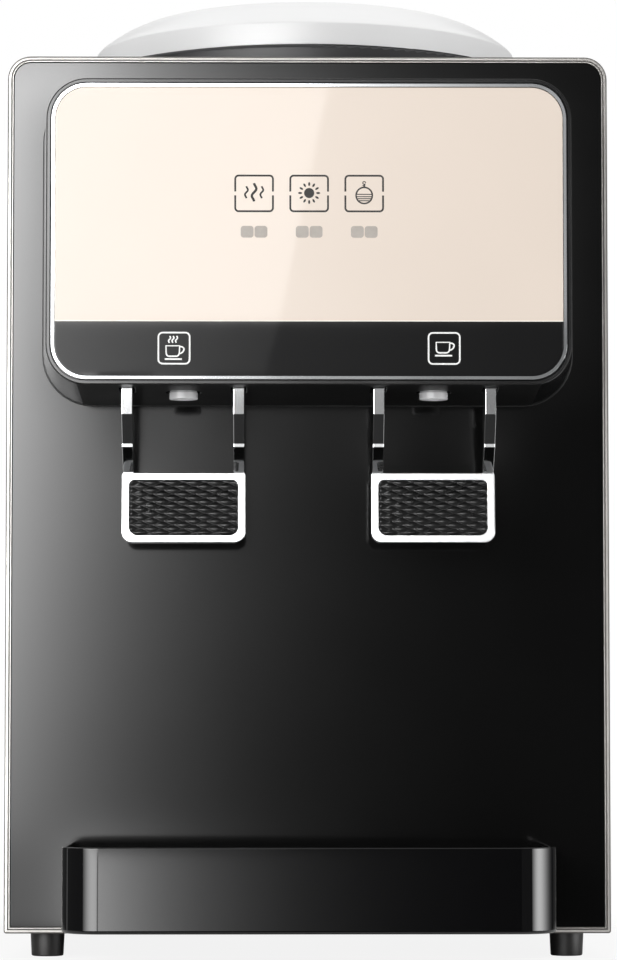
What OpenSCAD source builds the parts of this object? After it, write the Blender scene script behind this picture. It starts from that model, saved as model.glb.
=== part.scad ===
// Countertop water dispenser: a bottle seat on top, a hot and an ambient push tap under a
// projecting head, and a drip tray that pulls out of the front panel.
// +Z is up, the front faces -Y, and the origin is on the floor at the centre of the footprint.
// Sizes are millimetres. "Reach" is a distance in front of the panel's face.

/* [Casing] */
// Width over the front frame
panel_w = 276; // [256:1:310]
// Height of the front frame
panel_h = 402; // [390:1:440]
// Depth from the front panel's face to the rear face
body_depth = 248; // [246:1:280]
// Clear height under the casing
foot_h = 11; // [9:0.5:20]
// Wall thickness of the moulded covers
wall = 2.5; // [2:0.1:3]
// Radius of the frame's two top corners
top_r = 10.5; // [8:0.5:14]
// Radius of the casing's rear vertical edges
rear_r = 8; // [6:0.5:12]
// Height of the top cover's side skirt
cap_h = 13; // [12:0.5:18]

/* [Front frame and panel] */
// Visible width of the metal frame
trim_face = 2.9; // [2.4:0.1:4]
// Thickness of the frame's outer wall
trim_wall = 1.6; // [1.2:0.1:2]
// How far the frame stands proud of the panel
trim_proud = 0.8; // [0.4:0.1:1.5]
// How far the frame wraps back over the casing
trim_depth = 9; // [8:0.5:10]
// Thickness of the front panel
panel_t = 4; // [3:0.5:5]

/* [Head] */
// Width of the head's front edge
head_w = 235; // [226:1:242]
// Height of the head's front edge
head_h = 136.5; // [128:0.5:144]
// Drop from the frame's top to the head's front edge
head_drop = 21; // [17:1:28]
// Reach of the head's glass
head_p = 64; // [62:1:72]
// Corner radius of the head's front edge
head_r = 18; // [14:1:24]
// Extra half width where the head meets the panel
flare_x = 3.8; // [3:0.2:6]
// Extra height above and below where the head meets the panel
flare_z = 4; // [3:0.2:6]
// Margin from the head's edge to the display window
window_margin = 3.8; // [3.2:0.1:5]
// Width of the bright ring round the window
ring_w = 1.6; // [1:0.1:2]
// Thickness of the display window
window_t = 3.6; // [2.5:0.1:4]

/* [Indicators] */
// Spacing of the indicator lamps
lamp_pitch = 24.4; // [20:0.1:28]
// Height of the lamps above the head's lower edge
lamp_rise = 85; // [75:0.5:95]
// Side of each square light box
lamp_box = 15; // [10:0.5:17]

/* [Taps] */
// Distance of each tap from the centre line
tap_x = 56; // [51:0.5:61]
// Reach of the nozzle's axis
tap_p = 39; // [37:0.5:41]
// Drop from the head's lower edge to the nozzle's mouth
nozzle_drop = 4.6; // [3:0.2:8]
// Outer radius of the nozzle's rim
nozzle_r = 6.35; // [6.1:0.05:7]
// Outer radius of the valve chamber
chamber_r = 9.5; // [9:0.1:10]
// Radius of the valve stem
stem_r = 2; // [1.5:0.1:2.2]
// Distance from the stem to the lever's pivot
pivot_arm = 12; // [11.5:0.1:13]
// Radius of the pivot pin
pin_r = 1.5; // [1.2:0.1:1.8]

/* [Levers] */
// Width of the paddle
lever_w = 55.6; // [50:0.2:58]
// Width of each arm
arm_w = 4.7; // [4:0.1:6]
// How far each arm is set in from the paddle's edge
arm_inset = 0.6; // [0:0.1:1.5]
// Depth of an arm, front to back
arm_t = 5; // [4:0.1:6]
// Height of the paddle
paddle_h = 31.5; // [26:0.5:36]
// Thickness of the paddle
paddle_t = 4; // [3.5:0.1:5]
// Drop from the head's lower edge to the paddle's lower edge
lever_drop = 68.4; // [64:0.2:76]
// Reach of the paddle's face at its middle
paddle_p = 33.5; // [31:0.5:35]
// Lean of the paddle, lower edge forward
paddle_lean = 5.5; // [3:0.5:8]
// Width of the paddle's bright border
pad_border = 3.3; // [2.5:0.1:5]
// Depth of the pad's seat in the paddle
pad_seat = 1.8; // [1.2:0.1:2.4]
// How far the pad stands proud of the paddle
pad_proud = 0.4; // [0:0.1:1]

/* [Drip tray] */
// Width of the tray
tray_w = 217; // [190:1:225]
// Reach of the tray
tray_p = 78; // [70:1:90]
// Height of the tray
tray_h = 37.5; // [32:0.5:42]
// Height of the tray's underside above the frame's lower edge
tray_lift = 3.8; // [3.4:0.2:12]
// Radius of the tray's front corners
tray_r = 17; // [10:1:24]
// Wall thickness of the tray
tray_wall = 2.4; // [2:0.1:3]
// How far the grille's top lies below the rim
grille_sink = 7; // [4:0.5:9]
// Thickness of the grille
grille_t = 2.2; // [1.6:0.1:3]
// Width of a grille slot
slot_w = 3.2; // [2.4:0.1:4]
// Spacing of the grille's slots
slot_pitch = 7; // [6:0.5:9]

/* [Bottle seat] */
// Radius of the seat's outer rim
collar_r = 103; // [100:0.5:106]
// Height of the seat's upright band
collar_band = 11; // [8:0.5:16]
// Height of the seat's sloping shoulder
collar_shoulder = 14.3; // [11:0.1:18]
// Radius of the raised round plateau on the top cover
plateau_r = 110; // [108:0.5:116]
// Height of the plateau above the top cover
plateau_h = 11.5; // [8:0.2:14]
// Radius of the throat that guides the bottle's neck
throat_r = 30; // [29:0.5:33]
// Length of the throat
throat_h = 14; // [10:0.5:18]
// Depth of the probe's well below the throat
well_h = 24; // [22:0.5:28]
// Radius of the reservoir
reservoir_r = 60; // [54:0.5:64]
// Height of the reservoir
reservoir_h = 88; // [80:1:96]

/* [Hot tank] */
// Radius of the tank
tank_r = 46.5; // [42:0.5:50]
// Height of the tank
tank_h = 132; // [110:1:140]
// Thickness of the foam jacket
jacket_t = 11; // [6:0.5:14]
// Height of the tank's stand
stand_h = 52; // [50:1:60]
// Distance of the tank from the centre line, to the left
tank_x = 35; // [28:1:42]
// Distance of the tank's axis behind the panel's face
tank_q = 140; // [120:1:150]

/* [Rear fittings] */
// Distance of the switch and the cord gland from the centre line
fittings_x = 60; // [50:1:80]
// Height of the switch above the casing's lower edge
switch_rise = 77; // [66:1:110]
// Height of the cord gland and the drain above the casing's lower edge
low_rise = 25; // [24:0.5:30]
// Radius of the cord's hole in the gland
cord_r = 3.7; // [3:0.1:4]
// How far the drain cap stands behind the rear face
cap_stick = 15; // [13:0.5:20]

/* [Hidden] */
$fn = 96;
fit = 0.4;
slip = 0.05;
eps = 0.1;
min_r = 0.4;
far = 1000;

HOT = -1;
COLD = 1;

// Main planes of the casing
panel_y = (tray_p - body_depth - cap_stick) / 2;
rear_y = panel_y + body_depth;
frame_z0 = foot_h;
frame_z1 = foot_h + panel_h;
body_hw = panel_w / 2 - trim_wall - fit;
body_top = frame_z1 - trim_wall - fit;
ledge_t = 2;
ledge_w = 4.1;
panel_back = panel_y + panel_t;
casing_y0 = panel_back + ledge_t + 0.2;
cap_z0 = body_top - cap_h;
cap_r = top_r - trim_wall - fit;
flange_w = 18;
rear_panel_hw = body_hw - flange_w - 0.3;
bottom_r = 1.2;
lip_h = 15;
lip_t = 2;

// Feet
foot_side_in = 18.9;
foot_x = panel_w / 2 - foot_side_in;
foot_inset = 18;
foot_top_r = 7.8;
foot_floor_r = 7.3;
foot_stem_r = 2.8;
foot_y = [panel_y + foot_inset, rear_y - foot_inset];

// Head
head_z1 = frame_z1 - head_drop;
head_z0 = head_z1 - head_h;
root_r = 23;
head_bevel = 1.6;
head_rim_p = head_p - 0.5;
head_side_p = head_p - 2;
window_back_p = head_p - 0.4 - window_t;
head_ledge_t = 3;
head_ledge_w = 5;
lamp_z = head_z0 + lamp_rise;
board_w = 80;
board_h = 24;
board_t = 1.6;
light_box_t = 7;
led_side = 5;
led_t = 2;
lead_hole_r = 5;
boss_r = 4;
boss_p = 16;
boss_in = 14;
rib_t = 2;
screw_r = 1.5;
screw_head_r = 3;
screw_head_t = 2;

// Taps, measured up from the nozzle's mouth
tap_y = panel_y - tap_p;
nozzle_z = head_z0 - nozzle_drop;
nozzle_rim = 3.5;
nozzle_l = 9;
spigot_r = 5.4;
outlet_r = 3.5;
spigot_z0 = nozzle_z + 3;
chamber_z0 = nozzle_z + 10.6;
chamber_h = 25;
chamber_wall = 3;
seat_t = 2.4;
shank_r = 6.8;
shank_bore = 4;
shank_z = chamber_z0 + 12;
shank_tail = 7;
barb_r = 3.6;
barb_bore = 2.4;
barb_l = 13;
tap_flange_r = 11;
tap_flange_t = 2;
bracket_t = 2;
nut_flat = 20;
nut_t = 5;
cap_skirt = 8;
cap_t = 3;
cap_wall = 1.5;
seal_t = 2;
disc_t = 1.5;
button_r = 7;
button_t = 2.2;
prong_r = 1.2;
prong_gap = 3.5;
prong_w = 2.5;
prong_clear = 0.3;
spring_wire = 0.8;
spring_turns = 6;
spring_coil_r = 4.2;
chamber_top = chamber_z0 + chamber_h;
seal_z = chamber_z0 + seat_t + 0.1;
disc_z = seal_z + seal_t;
spring_z0 = disc_z + disc_t + 0.1;
spring_z1 = chamber_top - 0.1;
pivot_p = tap_p + pivot_arm;
pivot_y = panel_y - pivot_p;
pivot_z = chamber_top + cap_t + 3.5;
button_z = pivot_z + prong_r + prong_clear;

// Levers
hub_r = 3.2;
boss_hub_r = 4.5;
lever_z0 = head_z0 - lever_drop;
lever_z1 = lever_z0 + paddle_h;
paddle_mid_z = lever_z0 + paddle_h / 2;
arm_p = pivot_p + arm_t / 2;
knee_z = head_z0 - 12.2;
step_z = head_z0 - 24.8;
step_h = 1.4;
step_p = 44.5;
paddle_top_p = paddle_p - paddle_h / 2 * tan(paddle_lean);
arm_hw = lever_w / 2 - arm_inset;
paddle_r = 5;
pad_r_top = 2.5;
pad_r_bottom = 4;
lever_travel = 12;
arm_play = 1;
ear_gap = 1;
ear_t = 2.4;
ear_h = 15;
ear_x = lever_w / 2 + ear_gap;
pin_head_r = 2.6;
pin_head_t = 1.2;

// Drip tray
tray_gap = 0.4;
tray_z0 = frame_z0 + tray_lift;
tray_z1 = tray_z0 + tray_h;
grille_z1 = tray_z1 - grille_sink;
grille_z0 = grille_z1 - grille_t;
grille_ledge = 2;
tab_w = 20;
tab_t = 4;
tab_l = 10;
tab_x = 60;
tab_z = tray_z0 + 14;
slot_l = 28;
slot_rows = [-1, 1];
lift_x = 66;
lift_w = 6;
lift_h = 2.5;

// Bottle seat
seat_y = panel_y + (body_depth + 6) / 2;
plateau_z = body_top + plateau_h;
plateau_round = 2;
gasket_t = 1;
gasket_in = 2;
gasket_w = 9;
collar_z0 = plateau_z + gasket_t;
collar_z1 = collar_z0 + collar_band;
collar_top = collar_z1 + collar_shoulder;
collar_wall = 3;
rim_in = 28;
rim_w = 3;
shoulder_bulge = 2.3;
shoulder_steps = 6;
funnel_h = 40.5;
throat_z1 = collar_top - funnel_h;
throat_z0 = throat_z1 - throat_h;
well_step = 0.8;
well_r = throat_r + well_step;
well_z0 = throat_z0 - well_h;
tube_r = well_r + collar_wall;
probe_spigot_r = 14;
probe_spigot_wall = 3;
probe_r = 9;
probe_wall = 2.5;
probe_base_t = 2.5;
probe_base_z0 = well_z0 - probe_base_t;
probe_tip_r = 1.5;
probe_tip_z = throat_z0 - 1.2;
spigot_drop = 12;
mouth_r = collar_r - 15;
skirt_t = 2.6;
ledge_drop = 25;
well_ledge_z = body_top - ledge_drop;
reservoir_z1 = well_ledge_z;
reservoir_z0 = reservoir_z1 - reservoir_h;
reservoir_lip = 12;
stub_l = 12;
standpipe_gap = 3;
standpipe_z1 = probe_base_z0 - standpipe_gap;

// Hot tank
tank_cx = -tank_x;
tank_y = panel_y + tank_q;
stand_z0 = frame_z0 + wall;
stand_z1 = stand_z0 + stand_h;
tank_z0 = stand_z1;
tank_z1 = tank_z0 + tank_h;
tank_wall = 1.2;
jacket_gap = 0.3;
jacket_r = tank_r + jacket_gap + jacket_t;
stand_r = tank_r + 5;
leg_r = 4;
leg_ring = tank_r - 3;
heater_x = 9;
heater_r = 3;
heater_top = 70;
heater_flange_r = 18;
heater_tail = 10;
thermostat_r = 8;
thermostat_t = 6;
thermostat_off = 20;
inlet_at = [20, 14];
drain_at = [-20, 14];
outlet_at = [-12, -20];
vent_at = [15, 15];
top_stub_l = jacket_t + 18;

// Hoses and wires
hose_r = 5.8;
hose_bore = 4.2;
hose_sides = 8;
hose_grip = 10;
hose_run = 5;
stand_hole = norm(inlet_at) + hose_r + 1;
wire_r = 1.5;
lead_off = 4;
lead_run = 5;
lead_side_in = 40;
lead_round = 54;
lead_dip = 12;
lead_turn = 16;
lead_climb = 70;
lead_under = 50;
lead_in = 35;
wire_sides = 6;
curve_steps = 4;

// Rear fittings
switch_z = frame_z0 + switch_rise;
low_z = frame_z0 + low_rise;
bezel_w = 16;
bezel_h = 24;
bezel_t = 2;
switch_w = 13;
switch_h = 20;
switch_d = 20;
rocker_w = 10;
rocker_r = 8.6;
rocker_play = 0.3;
rocker_rise = 5;
rocker_slope = 10;
rocker_swing = 16;
gland_flange_r = 9;
gland_r = 6.5;
gland_flange_t = 3;
gland_l = 14;
spout_r = 7;
spout_bore = 4.5;
spout_flange_r = 12;
spout_flange_t = 2.5;
spout_out = 10;
drain_cap_r = 11;
drain_cap_play = 0.3;
drain_flutes = 18;
flute_r = 0.9;
vent_rows = 11;
vent_cols = [-1, 0, 1];
vent_w = 46;
vent_h = 4;
vent_pitch = 9;
vent_rise = 190;
rear_screw_x = rear_panel_hw - 6;
rear_screw_z = [frame_z0 + 30, (frame_z0 + cap_z0) / 2, cap_z0 - 25];
rear_ledge_w = 12;

// Drawing helpers

// Extrudes a drawing in X and Z from y0 back to y1
module along_y(y0, y1) { translate([0, y1, 0]) rotate([90, 0, 0]) linear_extrude(y1 - y0) children(); }

// Extrudes a drawing in Y and Z from x0 to x1
module along_x(x0, x1) { translate([x0, 0, 0]) rotate([90, 0, 90]) linear_extrude(x1 - x0) children(); }

// A cylinder along Y from y0 to y1
module rod_y(r, y0, y1, x = 0, z = 0) {
    translate([x, y1, z]) rotate([90, 0, 0]) cylinder(r = r, h = y1 - y0);
}

// A cylinder along X from x0 to x1
module rod_x(r, x0, x1, y = 0, z = 0) {
    translate([x0, y, z]) rotate([0, 90, 0]) cylinder(r = r, h = x1 - x0);
}

// A cylinder along Z from z0 to z1
module rod_z(r, z0, z1, x = 0, y = 0) { translate([x, y, z0]) cylinder(r = r, h = z1 - z0); }

// A ring round Z
module ring_z(r, bore, z0, z1) {
    difference() {
        rod_z(r, z0, z1);
        rod_z(bore, z0 - eps, z1 + eps);
    }
}

// A rectangle with round corners: r0 at the lower edge y0, r1 at the upper edge y1
module round_rect(w, y0, y1, r0, r1) {
    half = (y1 - y0) / 2;
    translate([-w / 2 + r0, y0]) square([w - 2 * r0, half]);
    translate([-w / 2 + r1, y1 - half]) square([w - 2 * r1, half]);
    translate([-w / 2, y0 + r0]) square([w, y1 - y0 - r0 - r1]);
    for (s = [-1, 1]) {
        translate([s * (w / 2 - r0), y0 + r0]) circle(r = r0);
        translate([s * (w / 2 - r1), y1 - r1]) circle(r = r1);
    }
}

// Outline of the front frame, set in from its edge
module frame_outline(inset) {
    round_rect(panel_w - 2 * inset, frame_z0 + inset, frame_z1 - inset,
        max(bottom_r - inset, min_r), max(top_r - inset, min_r));
}

// Outline of the head's front edge, set in from its edge
module head_outline(inset) {
    round_rect(head_w - 2 * inset, head_z0 + inset, head_z1 - inset, head_r - inset, head_r - inset);
}

// Outline of the head where it meets the panel, set in from its edge
module root_outline(inset) {
    round_rect(head_w + 2 * (flare_x - inset), head_z0 - flare_z + inset, head_z1 + flare_z - inset,
        root_r - inset, root_r - inset);
}

// Plan of the casing, set in from its sides and rear
module body_plan(inset) {
    round_rect(2 * (body_hw - inset), casing_y0, rear_y - inset, min_r, max(rear_r - inset, min_r));
}

// Section of the top cover across the casing, set in from its outside
module cap_outline(inset, z0) {
    round_rect(2 * (body_hw - inset), z0, body_top - inset, min_r, max(cap_r - inset, min_r));
}

// Plan of the drip tray, set in from its walls
module tray_plan(inset) {
    round_rect(tray_w - 2 * inset, panel_y - tray_p + inset, panel_y - tray_gap - inset,
        max(tray_r - inset, min_r), 1);
}

// Places children at a tap's stem axis
module at_tap(side) { translate([side * tap_x, tap_y, 0]) children(); }

// Places children at the bottle seat's axis
module at_seat() { translate([0, seat_y, 0]) children(); }

// Places children at the hot tank's axis
module at_tank() { translate([tank_cx, tank_y, 0]) children(); }

// Curves and swept tubes
function unit(v) = v / norm(v);

// A point on the smooth curve from b to c, with neighbours a and d
function blend(a, b, c, d, t) =
    (2 * b + (c - a) * t + (2 * a - 5 * b + 4 * c - d) * t * t + (3 * b - a - 3 * c + d) * t * t * t) / 2;

// A smooth curve through the route's own points
function smooth_route(p) = let (n = len(p) - 1) concat(
    [for (i = [0:n - 1], s = [0:curve_steps - 1])
        blend(p[max(i - 1, 0)], p[i], p[i + 1], p[min(i + 2, n)], s / curve_steps)],
    [p[n]]);

function headings(p) = let (n = len(p) - 1) [for (i = [0:n]) unit(p[min(i + 1, n)] - p[max(i - 1, 0)])];
function carry(t, found) = len(found) == len(t) ? found :
    let (last = found[len(found) - 1], now = t[len(found)])
    carry(t, concat(found, [unit(last - (last * now) * now)]));
function side_vectors(t) = carry(t, [unit(cross(t[0], abs(t[0].z) < 0.9 ? [0, 0, 1] : [1, 0, 0]))]);
function swept_rings(p, r, k) = let (t = headings(p), n = side_vectors(t))
    [for (i = [0:len(p) - 1]) let (b = cross(t[i], n[i]))
        [for (j = [0:k - 1]) p[i] + r * (cos(360 * j / k) * n[i] + sin(360 * j / k) * b)]];
function skin(from, to, k) = [for (j = [0:k - 1]) let (m = (j + 1) % k)
    each [[from * k + j, to * k + j, to * k + m], [from * k + j, to * k + m, from * k + m]]];
function fan(ring, k, flip) = [for (j = [1:k - 2])
    flip ? [ring * k, ring * k + j, ring * k + j + 1] : [ring * k, ring * k + j + 1, ring * k + j]];

// A solid rod swept along points
module swept_rod(p, r, k) {
    n = len(p) - 1;
    polyhedron([for (ring = swept_rings(p, r, k)) each ring],
        concat([for (i = [0:n - 1]) each skin(i, i + 1, k)], fan(0, k, true), fan(n, k, false)));
}

// A hose with its bore, swept along points
module swept_hose(p, r, bore, k) {
    outer = swept_rings(p, r, k);
    inner = swept_rings(p, bore, k);
    n = len(p);
    loop = concat(outer, [for (i = [n - 1:-1:0]) inner[i]]);
    polyhedron([for (ring = loop) each ring],
        [for (i = [0:2 * n - 1]) each skin(i, (i + 1) % (2 * n), k)]);
}

// Casing

module base_plate() {
    plan_in = wall + 0.3;
    y0 = casing_y0 + wall + 0.3;
    y1 = rear_y - 2 * wall - 0.2;
    module plan(inset) {
        intersection() {
            body_plan(plan_in + inset);
            translate([-far, y0 + inset]) square([2 * far, y1 - y0 - 2 * inset]);
        }
    }
    color("#2a2a2c") difference() {
        translate([0, 0, frame_z0]) linear_extrude(lip_h) plan(0);
        translate([0, 0, frame_z0 + wall]) linear_extrude(lip_h) plan(lip_t);
        for (sx = [-1, 1], y = foot_y)
            rod_z(foot_stem_r + 0.2, frame_z0 - eps, frame_z0 + wall + eps, sx * foot_x, y);
    }
}

module feet() {
    color("#161617") for (sx = [-1, 1], y = foot_y) translate([sx * foot_x, y, 0]) {
        cylinder(r1 = foot_floor_r, r2 = foot_top_r, h = frame_z0);
        rod_z(foot_stem_r, frame_z0 - eps, frame_z0 + wall + 2);
    }
}

module left_side_cover() { color("#202023") side_cover(); }

module right_side_cover() { color("#202023") mirror([1, 0, 0]) side_cover(); }

// One side wall with a front flange, a round rear edge and a ledge for the rear panel
module side_cover() {
    flange_in = body_hw - 12;
    ledge_in = rear_panel_hw + 0.3 - rear_ledge_w;
    difference() {
        translate([0, 0, frame_z0]) linear_extrude(cap_z0 - 0.3 - frame_z0) {
            intersection() {
                difference() {
                    body_plan(0);
                    translate([0, -eps]) body_plan(wall);
                    translate([-body_hw + wall, casing_y0 - 1]) square([2 * (body_hw - wall), 20]);
                }
                translate([-far, -far]) square([far - rear_panel_hw - 0.3, 2 * far]);
            }
            translate([-body_hw + eps, casing_y0]) square([body_hw - eps - flange_in, wall]);
            translate([-body_hw + wall + 5, rear_y - 2 * wall])
                square([body_hw - wall - 5 - ledge_in, wall]);
        }
        for (z = rear_screw_z)
            rod_y(screw_r + 0.2, rear_y - 2 * wall - eps, rear_y + eps, -rear_screw_x, z);
        translate([-far, panel_y, frame_z0 - eps]) cube([2 * far, trim_depth + fit, trim_wall + fit + eps]);
    }
}

module rear_panel() {
    color("#242427") difference() {
        along_y(rear_y - wall, rear_y)
            round_rect(2 * rear_panel_hw, frame_z0 + 0.3, cap_z0 - 0.3, min_r, min_r);
        for (c = vent_cols, i = [0:vent_rows - 1])
            along_y(rear_y - wall - eps, rear_y + eps)
                translate([c * (vent_w + 12), frame_z0 + vent_rise + i * vent_pitch])
                    round_rect(vent_w, 0, vent_h, vent_h / 2 - 0.01, vent_h / 2 - 0.01);
        along_y(rear_y - wall - eps, rear_y + eps) translate([fittings_x, switch_z])
            square([switch_w + 0.4, switch_h + 0.4], center = true);
        rod_y(gland_r + 0.1, rear_y - wall - eps, rear_y + eps, fittings_x, low_z);
        rod_y(spout_r + 0.1, rear_y - wall - eps, rear_y + eps, -fittings_x, low_z);
        for (sx = [-1, 1], z = rear_screw_z)
            rod_y(screw_r + 0.4, rear_y - wall - eps, rear_y + eps, sx * rear_screw_x, z);
    }
}

// A shallow cap with a raised round plateau and a stepped well that carries the reservoir
module top_cover() {
    module cap_body(inset, z0) {
        intersection() {
            along_y(casing_y0, rear_y - inset) cap_outline(inset, z0);
            translate([0, 0, z0]) linear_extrude(cap_h + far) body_plan(inset);
        }
    }
    color("#1c1c1e") {
        difference() {
            union() {
                cap_body(0, cap_z0);
                at_seat() rotate_extrude() {
                    square([plateau_r - plateau_round, plateau_z]);
                    square([plateau_r, plateau_z - plateau_round]);
                    translate([plateau_r - plateau_round, plateau_z - plateau_round])
                        circle(r = plateau_round);
                }
            }
            translate([0, 0, cap_z0 - far]) linear_extrude(far) square(2 * far, center = true);
            translate([0, -eps, 0]) cap_body(wall, cap_z0 - 1);
            at_seat() rod_z(plateau_r - wall, cap_z0 - 1, plateau_z - wall);
            at_seat() rod_z(mouth_r + skirt_t - eps, cap_z0, plateau_z + eps);
        }
        at_seat() rotate_extrude() difference() {
            translate([reservoir_r + 2, well_ledge_z - wall])
                square([mouth_r + skirt_t - reservoir_r - 2, plateau_z - well_ledge_z + wall]);
            translate([0, well_ledge_z]) square([mouth_r, far]);
        }
    }
}

// Front frame and panel

module front_panel() {
    color("#0b0b0c") difference() {
        along_y(panel_y, panel_back) frame_outline(trim_face + 0.15);
        for (side = [HOT, COLD])
            rod_y(shank_r + 0.5, panel_y - eps, panel_back + eps, side * tap_x, shank_z);
        rod_y(lead_hole_r, panel_y - eps, panel_back + eps, 0, lamp_z);
        for (sx = [-1, 1]) along_y(panel_y - eps, panel_back + eps)
            translate([sx * tab_x, tab_z + tab_t / 2]) square([tab_w + 1, tab_t + 1], center = true);
        at_head_bosses() rod_y(screw_r + 0.3, panel_y - eps, panel_back + eps);
    }
}

module front_trim() {
    front = panel_y - trim_proud;
    groove_at = trim_face * 0.6;
    groove_w = 0.4;
    groove_d = 0.4;
    color("#c9bba8") difference() {
        along_y(front, panel_y + trim_depth) frame_outline(0);
        along_y(front - 1, panel_back) frame_outline(trim_face);
        along_y(front - 1, panel_y + far) frame_outline(trim_face + ledge_w);
        along_y(panel_back + ledge_t, panel_y + far) frame_outline(trim_wall);
        along_y(front - 1, front + groove_d) difference() {
            frame_outline(groove_at);
            frame_outline(groove_at + groove_w);
        }
    }
}

// Head

// Places children at the four screw bosses in the head's corners
module at_head_bosses() {
    for (sx = [-1, 1], z = [head_z0 + boss_in, head_z1 - boss_in])
        translate([sx * (head_w / 2 - boss_in), 0, z]) children();
}

// A flared hood: open against the panel, with a ledge for the window and slots for the taps
module head_shell() {
    slab = 0.1;
    side_y = panel_y - head_side_p;
    rim_y = panel_y - head_rim_p;
    ledge_y = panel_y - window_back_p;
    arm_slot = arm_t + (pivot_z - head_z0 + 4) * sin(lever_travel) + 2 * arm_play;
    color("#131314") {
        difference() {
            hull() {
                along_y(panel_y - slab, panel_y) root_outline(0, $fn = 32);
                along_y(side_y, side_y + slab) head_outline(0, $fn = 32);
                along_y(rim_y, rim_y + slab) head_outline(head_bevel, $fn = 32);
            }
            hull() {
                along_y(panel_y - slab, panel_y + slab) root_outline(wall, $fn = 32);
                along_y(ledge_y + head_ledge_t, ledge_y + head_ledge_t + slab) head_outline(wall, $fn = 32);
            }
            along_y(panel_y - head_p - 1, ledge_y) head_outline(window_margin - ring_w - eps);
            along_y(panel_y - head_p, ledge_y + head_ledge_t + 1)
                head_outline(window_margin + head_ledge_w);
            for (side = [HOT, COLD]) {
                at_tap(side) rod_z(nozzle_r + 1.25, head_z0 - flare_z - 1, head_z0 + flare_z);
                for (s = [-1, 1])
                    translate([side * tap_x + s * (arm_hw - arm_w / 2), panel_y - arm_p - arm_play,
                            head_z0 - flare_z - 1])
                        translate([-arm_w / 2 - arm_play, 0, 0])
                            cube([arm_w + 2 * arm_play, arm_slot, 2 * flare_z + 1]);
            }
        }
        at_head_bosses() difference() {
            rod_y(boss_r, panel_y - boss_p, panel_y);
            rod_y(screw_r + 0.1, panel_y - boss_p + 2, panel_y + eps);
        }
        boss_ribs();
    }
}

// Ribs that tie the screw bosses to the head's side walls
module boss_ribs() {
    reach = boss_in + flare_x - wall - 0.1;
    start = boss_r - 0.5;
    for (sx = [-1, 1], z = [head_z0 + boss_in, head_z1 - boss_in])
        translate([sx * (head_w / 2 - boss_in), panel_y - boss_p, z - rib_t / 2])
            translate([sx > 0 ? start : -reach, 0, 0]) cube([reach - start, boss_p, rib_t]);
}

module head_trim_ring() {
    color("#dcdcde") along_y(panel_y - head_p, panel_y - window_back_p) difference() {
        head_outline(window_margin - ring_w);
        head_outline(window_margin);
    }
}

module display_window() {
    color("#efe4d6") along_y(panel_y - window_back_p - window_t, panel_y - window_back_p)
        head_outline(window_margin + slip);
}

// Indicators

// Places children at each indicator lamp
module at_lamps() { for (i = [-1, 0, 1]) translate([i * lamp_pitch, 0, lamp_z]) children(); }

module light_box() {
    front = panel_y - window_back_p;
    color("#f2f2f0") difference() {
        along_y(front, front + light_box_t)
            translate([0, lamp_z]) square([board_w, board_h], center = true);
        at_lamps() translate([0, front + light_box_t / 2, 0])
            cube([lamp_box, light_box_t + 1, lamp_box], center = true);
    }
}

module indicator_board() {
    front = panel_y - window_back_p + light_box_t;
    color("#1f5a37") along_y(front, front + board_t)
        translate([0, lamp_z]) square([board_w, board_h], center = true);
}

module indicator_leds() {
    back = panel_y - window_back_p + light_box_t;
    color("#fff4d8") at_lamps() translate([0, back - led_t / 2, 0])
        cube([led_side, led_t, led_side], center = true);
}

// Taps

// A bracket on the panel whose two ears carry the lever's pivot pin
module tap_bracket(side) {
    z0 = shank_z - 13;
    z1 = pivot_z + ear_h / 2;
    ear_end_r = ear_h / 2;
    nose_r = min(ear_end_r, head_p - window_t - head_ledge_t - pivot_p);
    color("#c8c9cc") translate([side * tap_x, 0, 0]) difference() {
        union() {
            along_y(panel_y - bracket_t, panel_y)
                translate([-ear_x - ear_t, z0]) square([2 * (ear_x + ear_t), z1 - z0]);
            for (s = [-1, 1]) along_x(s > 0 ? ear_x : -ear_x - ear_t, s > 0 ? ear_x + ear_t : -ear_x) {
                translate([pivot_y, pivot_z - ear_end_r]) square([pivot_p - bracket_t / 2, ear_h]);
                translate([pivot_y, pivot_z]) circle(r = nose_r);
            }
        }
        rod_y(shank_r + 0.2, panel_y - bracket_t - eps, panel_y + eps, 0, shank_z);
        rod_x(pin_r + slip, -far, far, pivot_y, pivot_z);
    }
}

module tap_body(side) {
    barb_y = panel_back + shank_tail;
    flange_y = panel_y - bracket_t - tap_y;
    color("#e9e9e6") at_tap(side) difference() {
        union() {
            rod_z(spigot_r, spigot_z0, chamber_z0 + 1);
            rod_z(chamber_r, chamber_z0, chamber_top);
            rod_y(shank_r, 0, barb_y - tap_y, 0, shank_z);
            rod_y(barb_r, 0, barb_y + barb_l - tap_y, 0, shank_z);
            rod_y(tap_flange_r, flange_y - tap_flange_t, flange_y, 0, shank_z);
        }
        rod_z(chamber_r - chamber_wall, chamber_z0 + seat_t, chamber_top + eps);
        rod_z(outlet_r, spigot_z0 - eps, chamber_z0 + seat_t + eps);
        rod_y(shank_bore, 0, barb_y - 2 - tap_y, 0, shank_z);
        rod_y(barb_bore, 0, barb_y + barb_l + eps - tap_y, 0, shank_z);
    }
}

module tap_nut(side) {
    color("#b9a05c") translate([side * tap_x, 0, shank_z]) difference() {
        rod_nut();
        rod_y(shank_r + 0.1, panel_back - eps, panel_back + nut_t + eps);
    }
}

// A plain hexagon lying along Y, behind the panel
module rod_nut() {
    translate([0, panel_back + nut_t, 0]) rotate([90, 0, 0])
        cylinder(r = nut_flat / 2 / cos(30), h = nut_t, $fn = 6);
}

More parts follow.
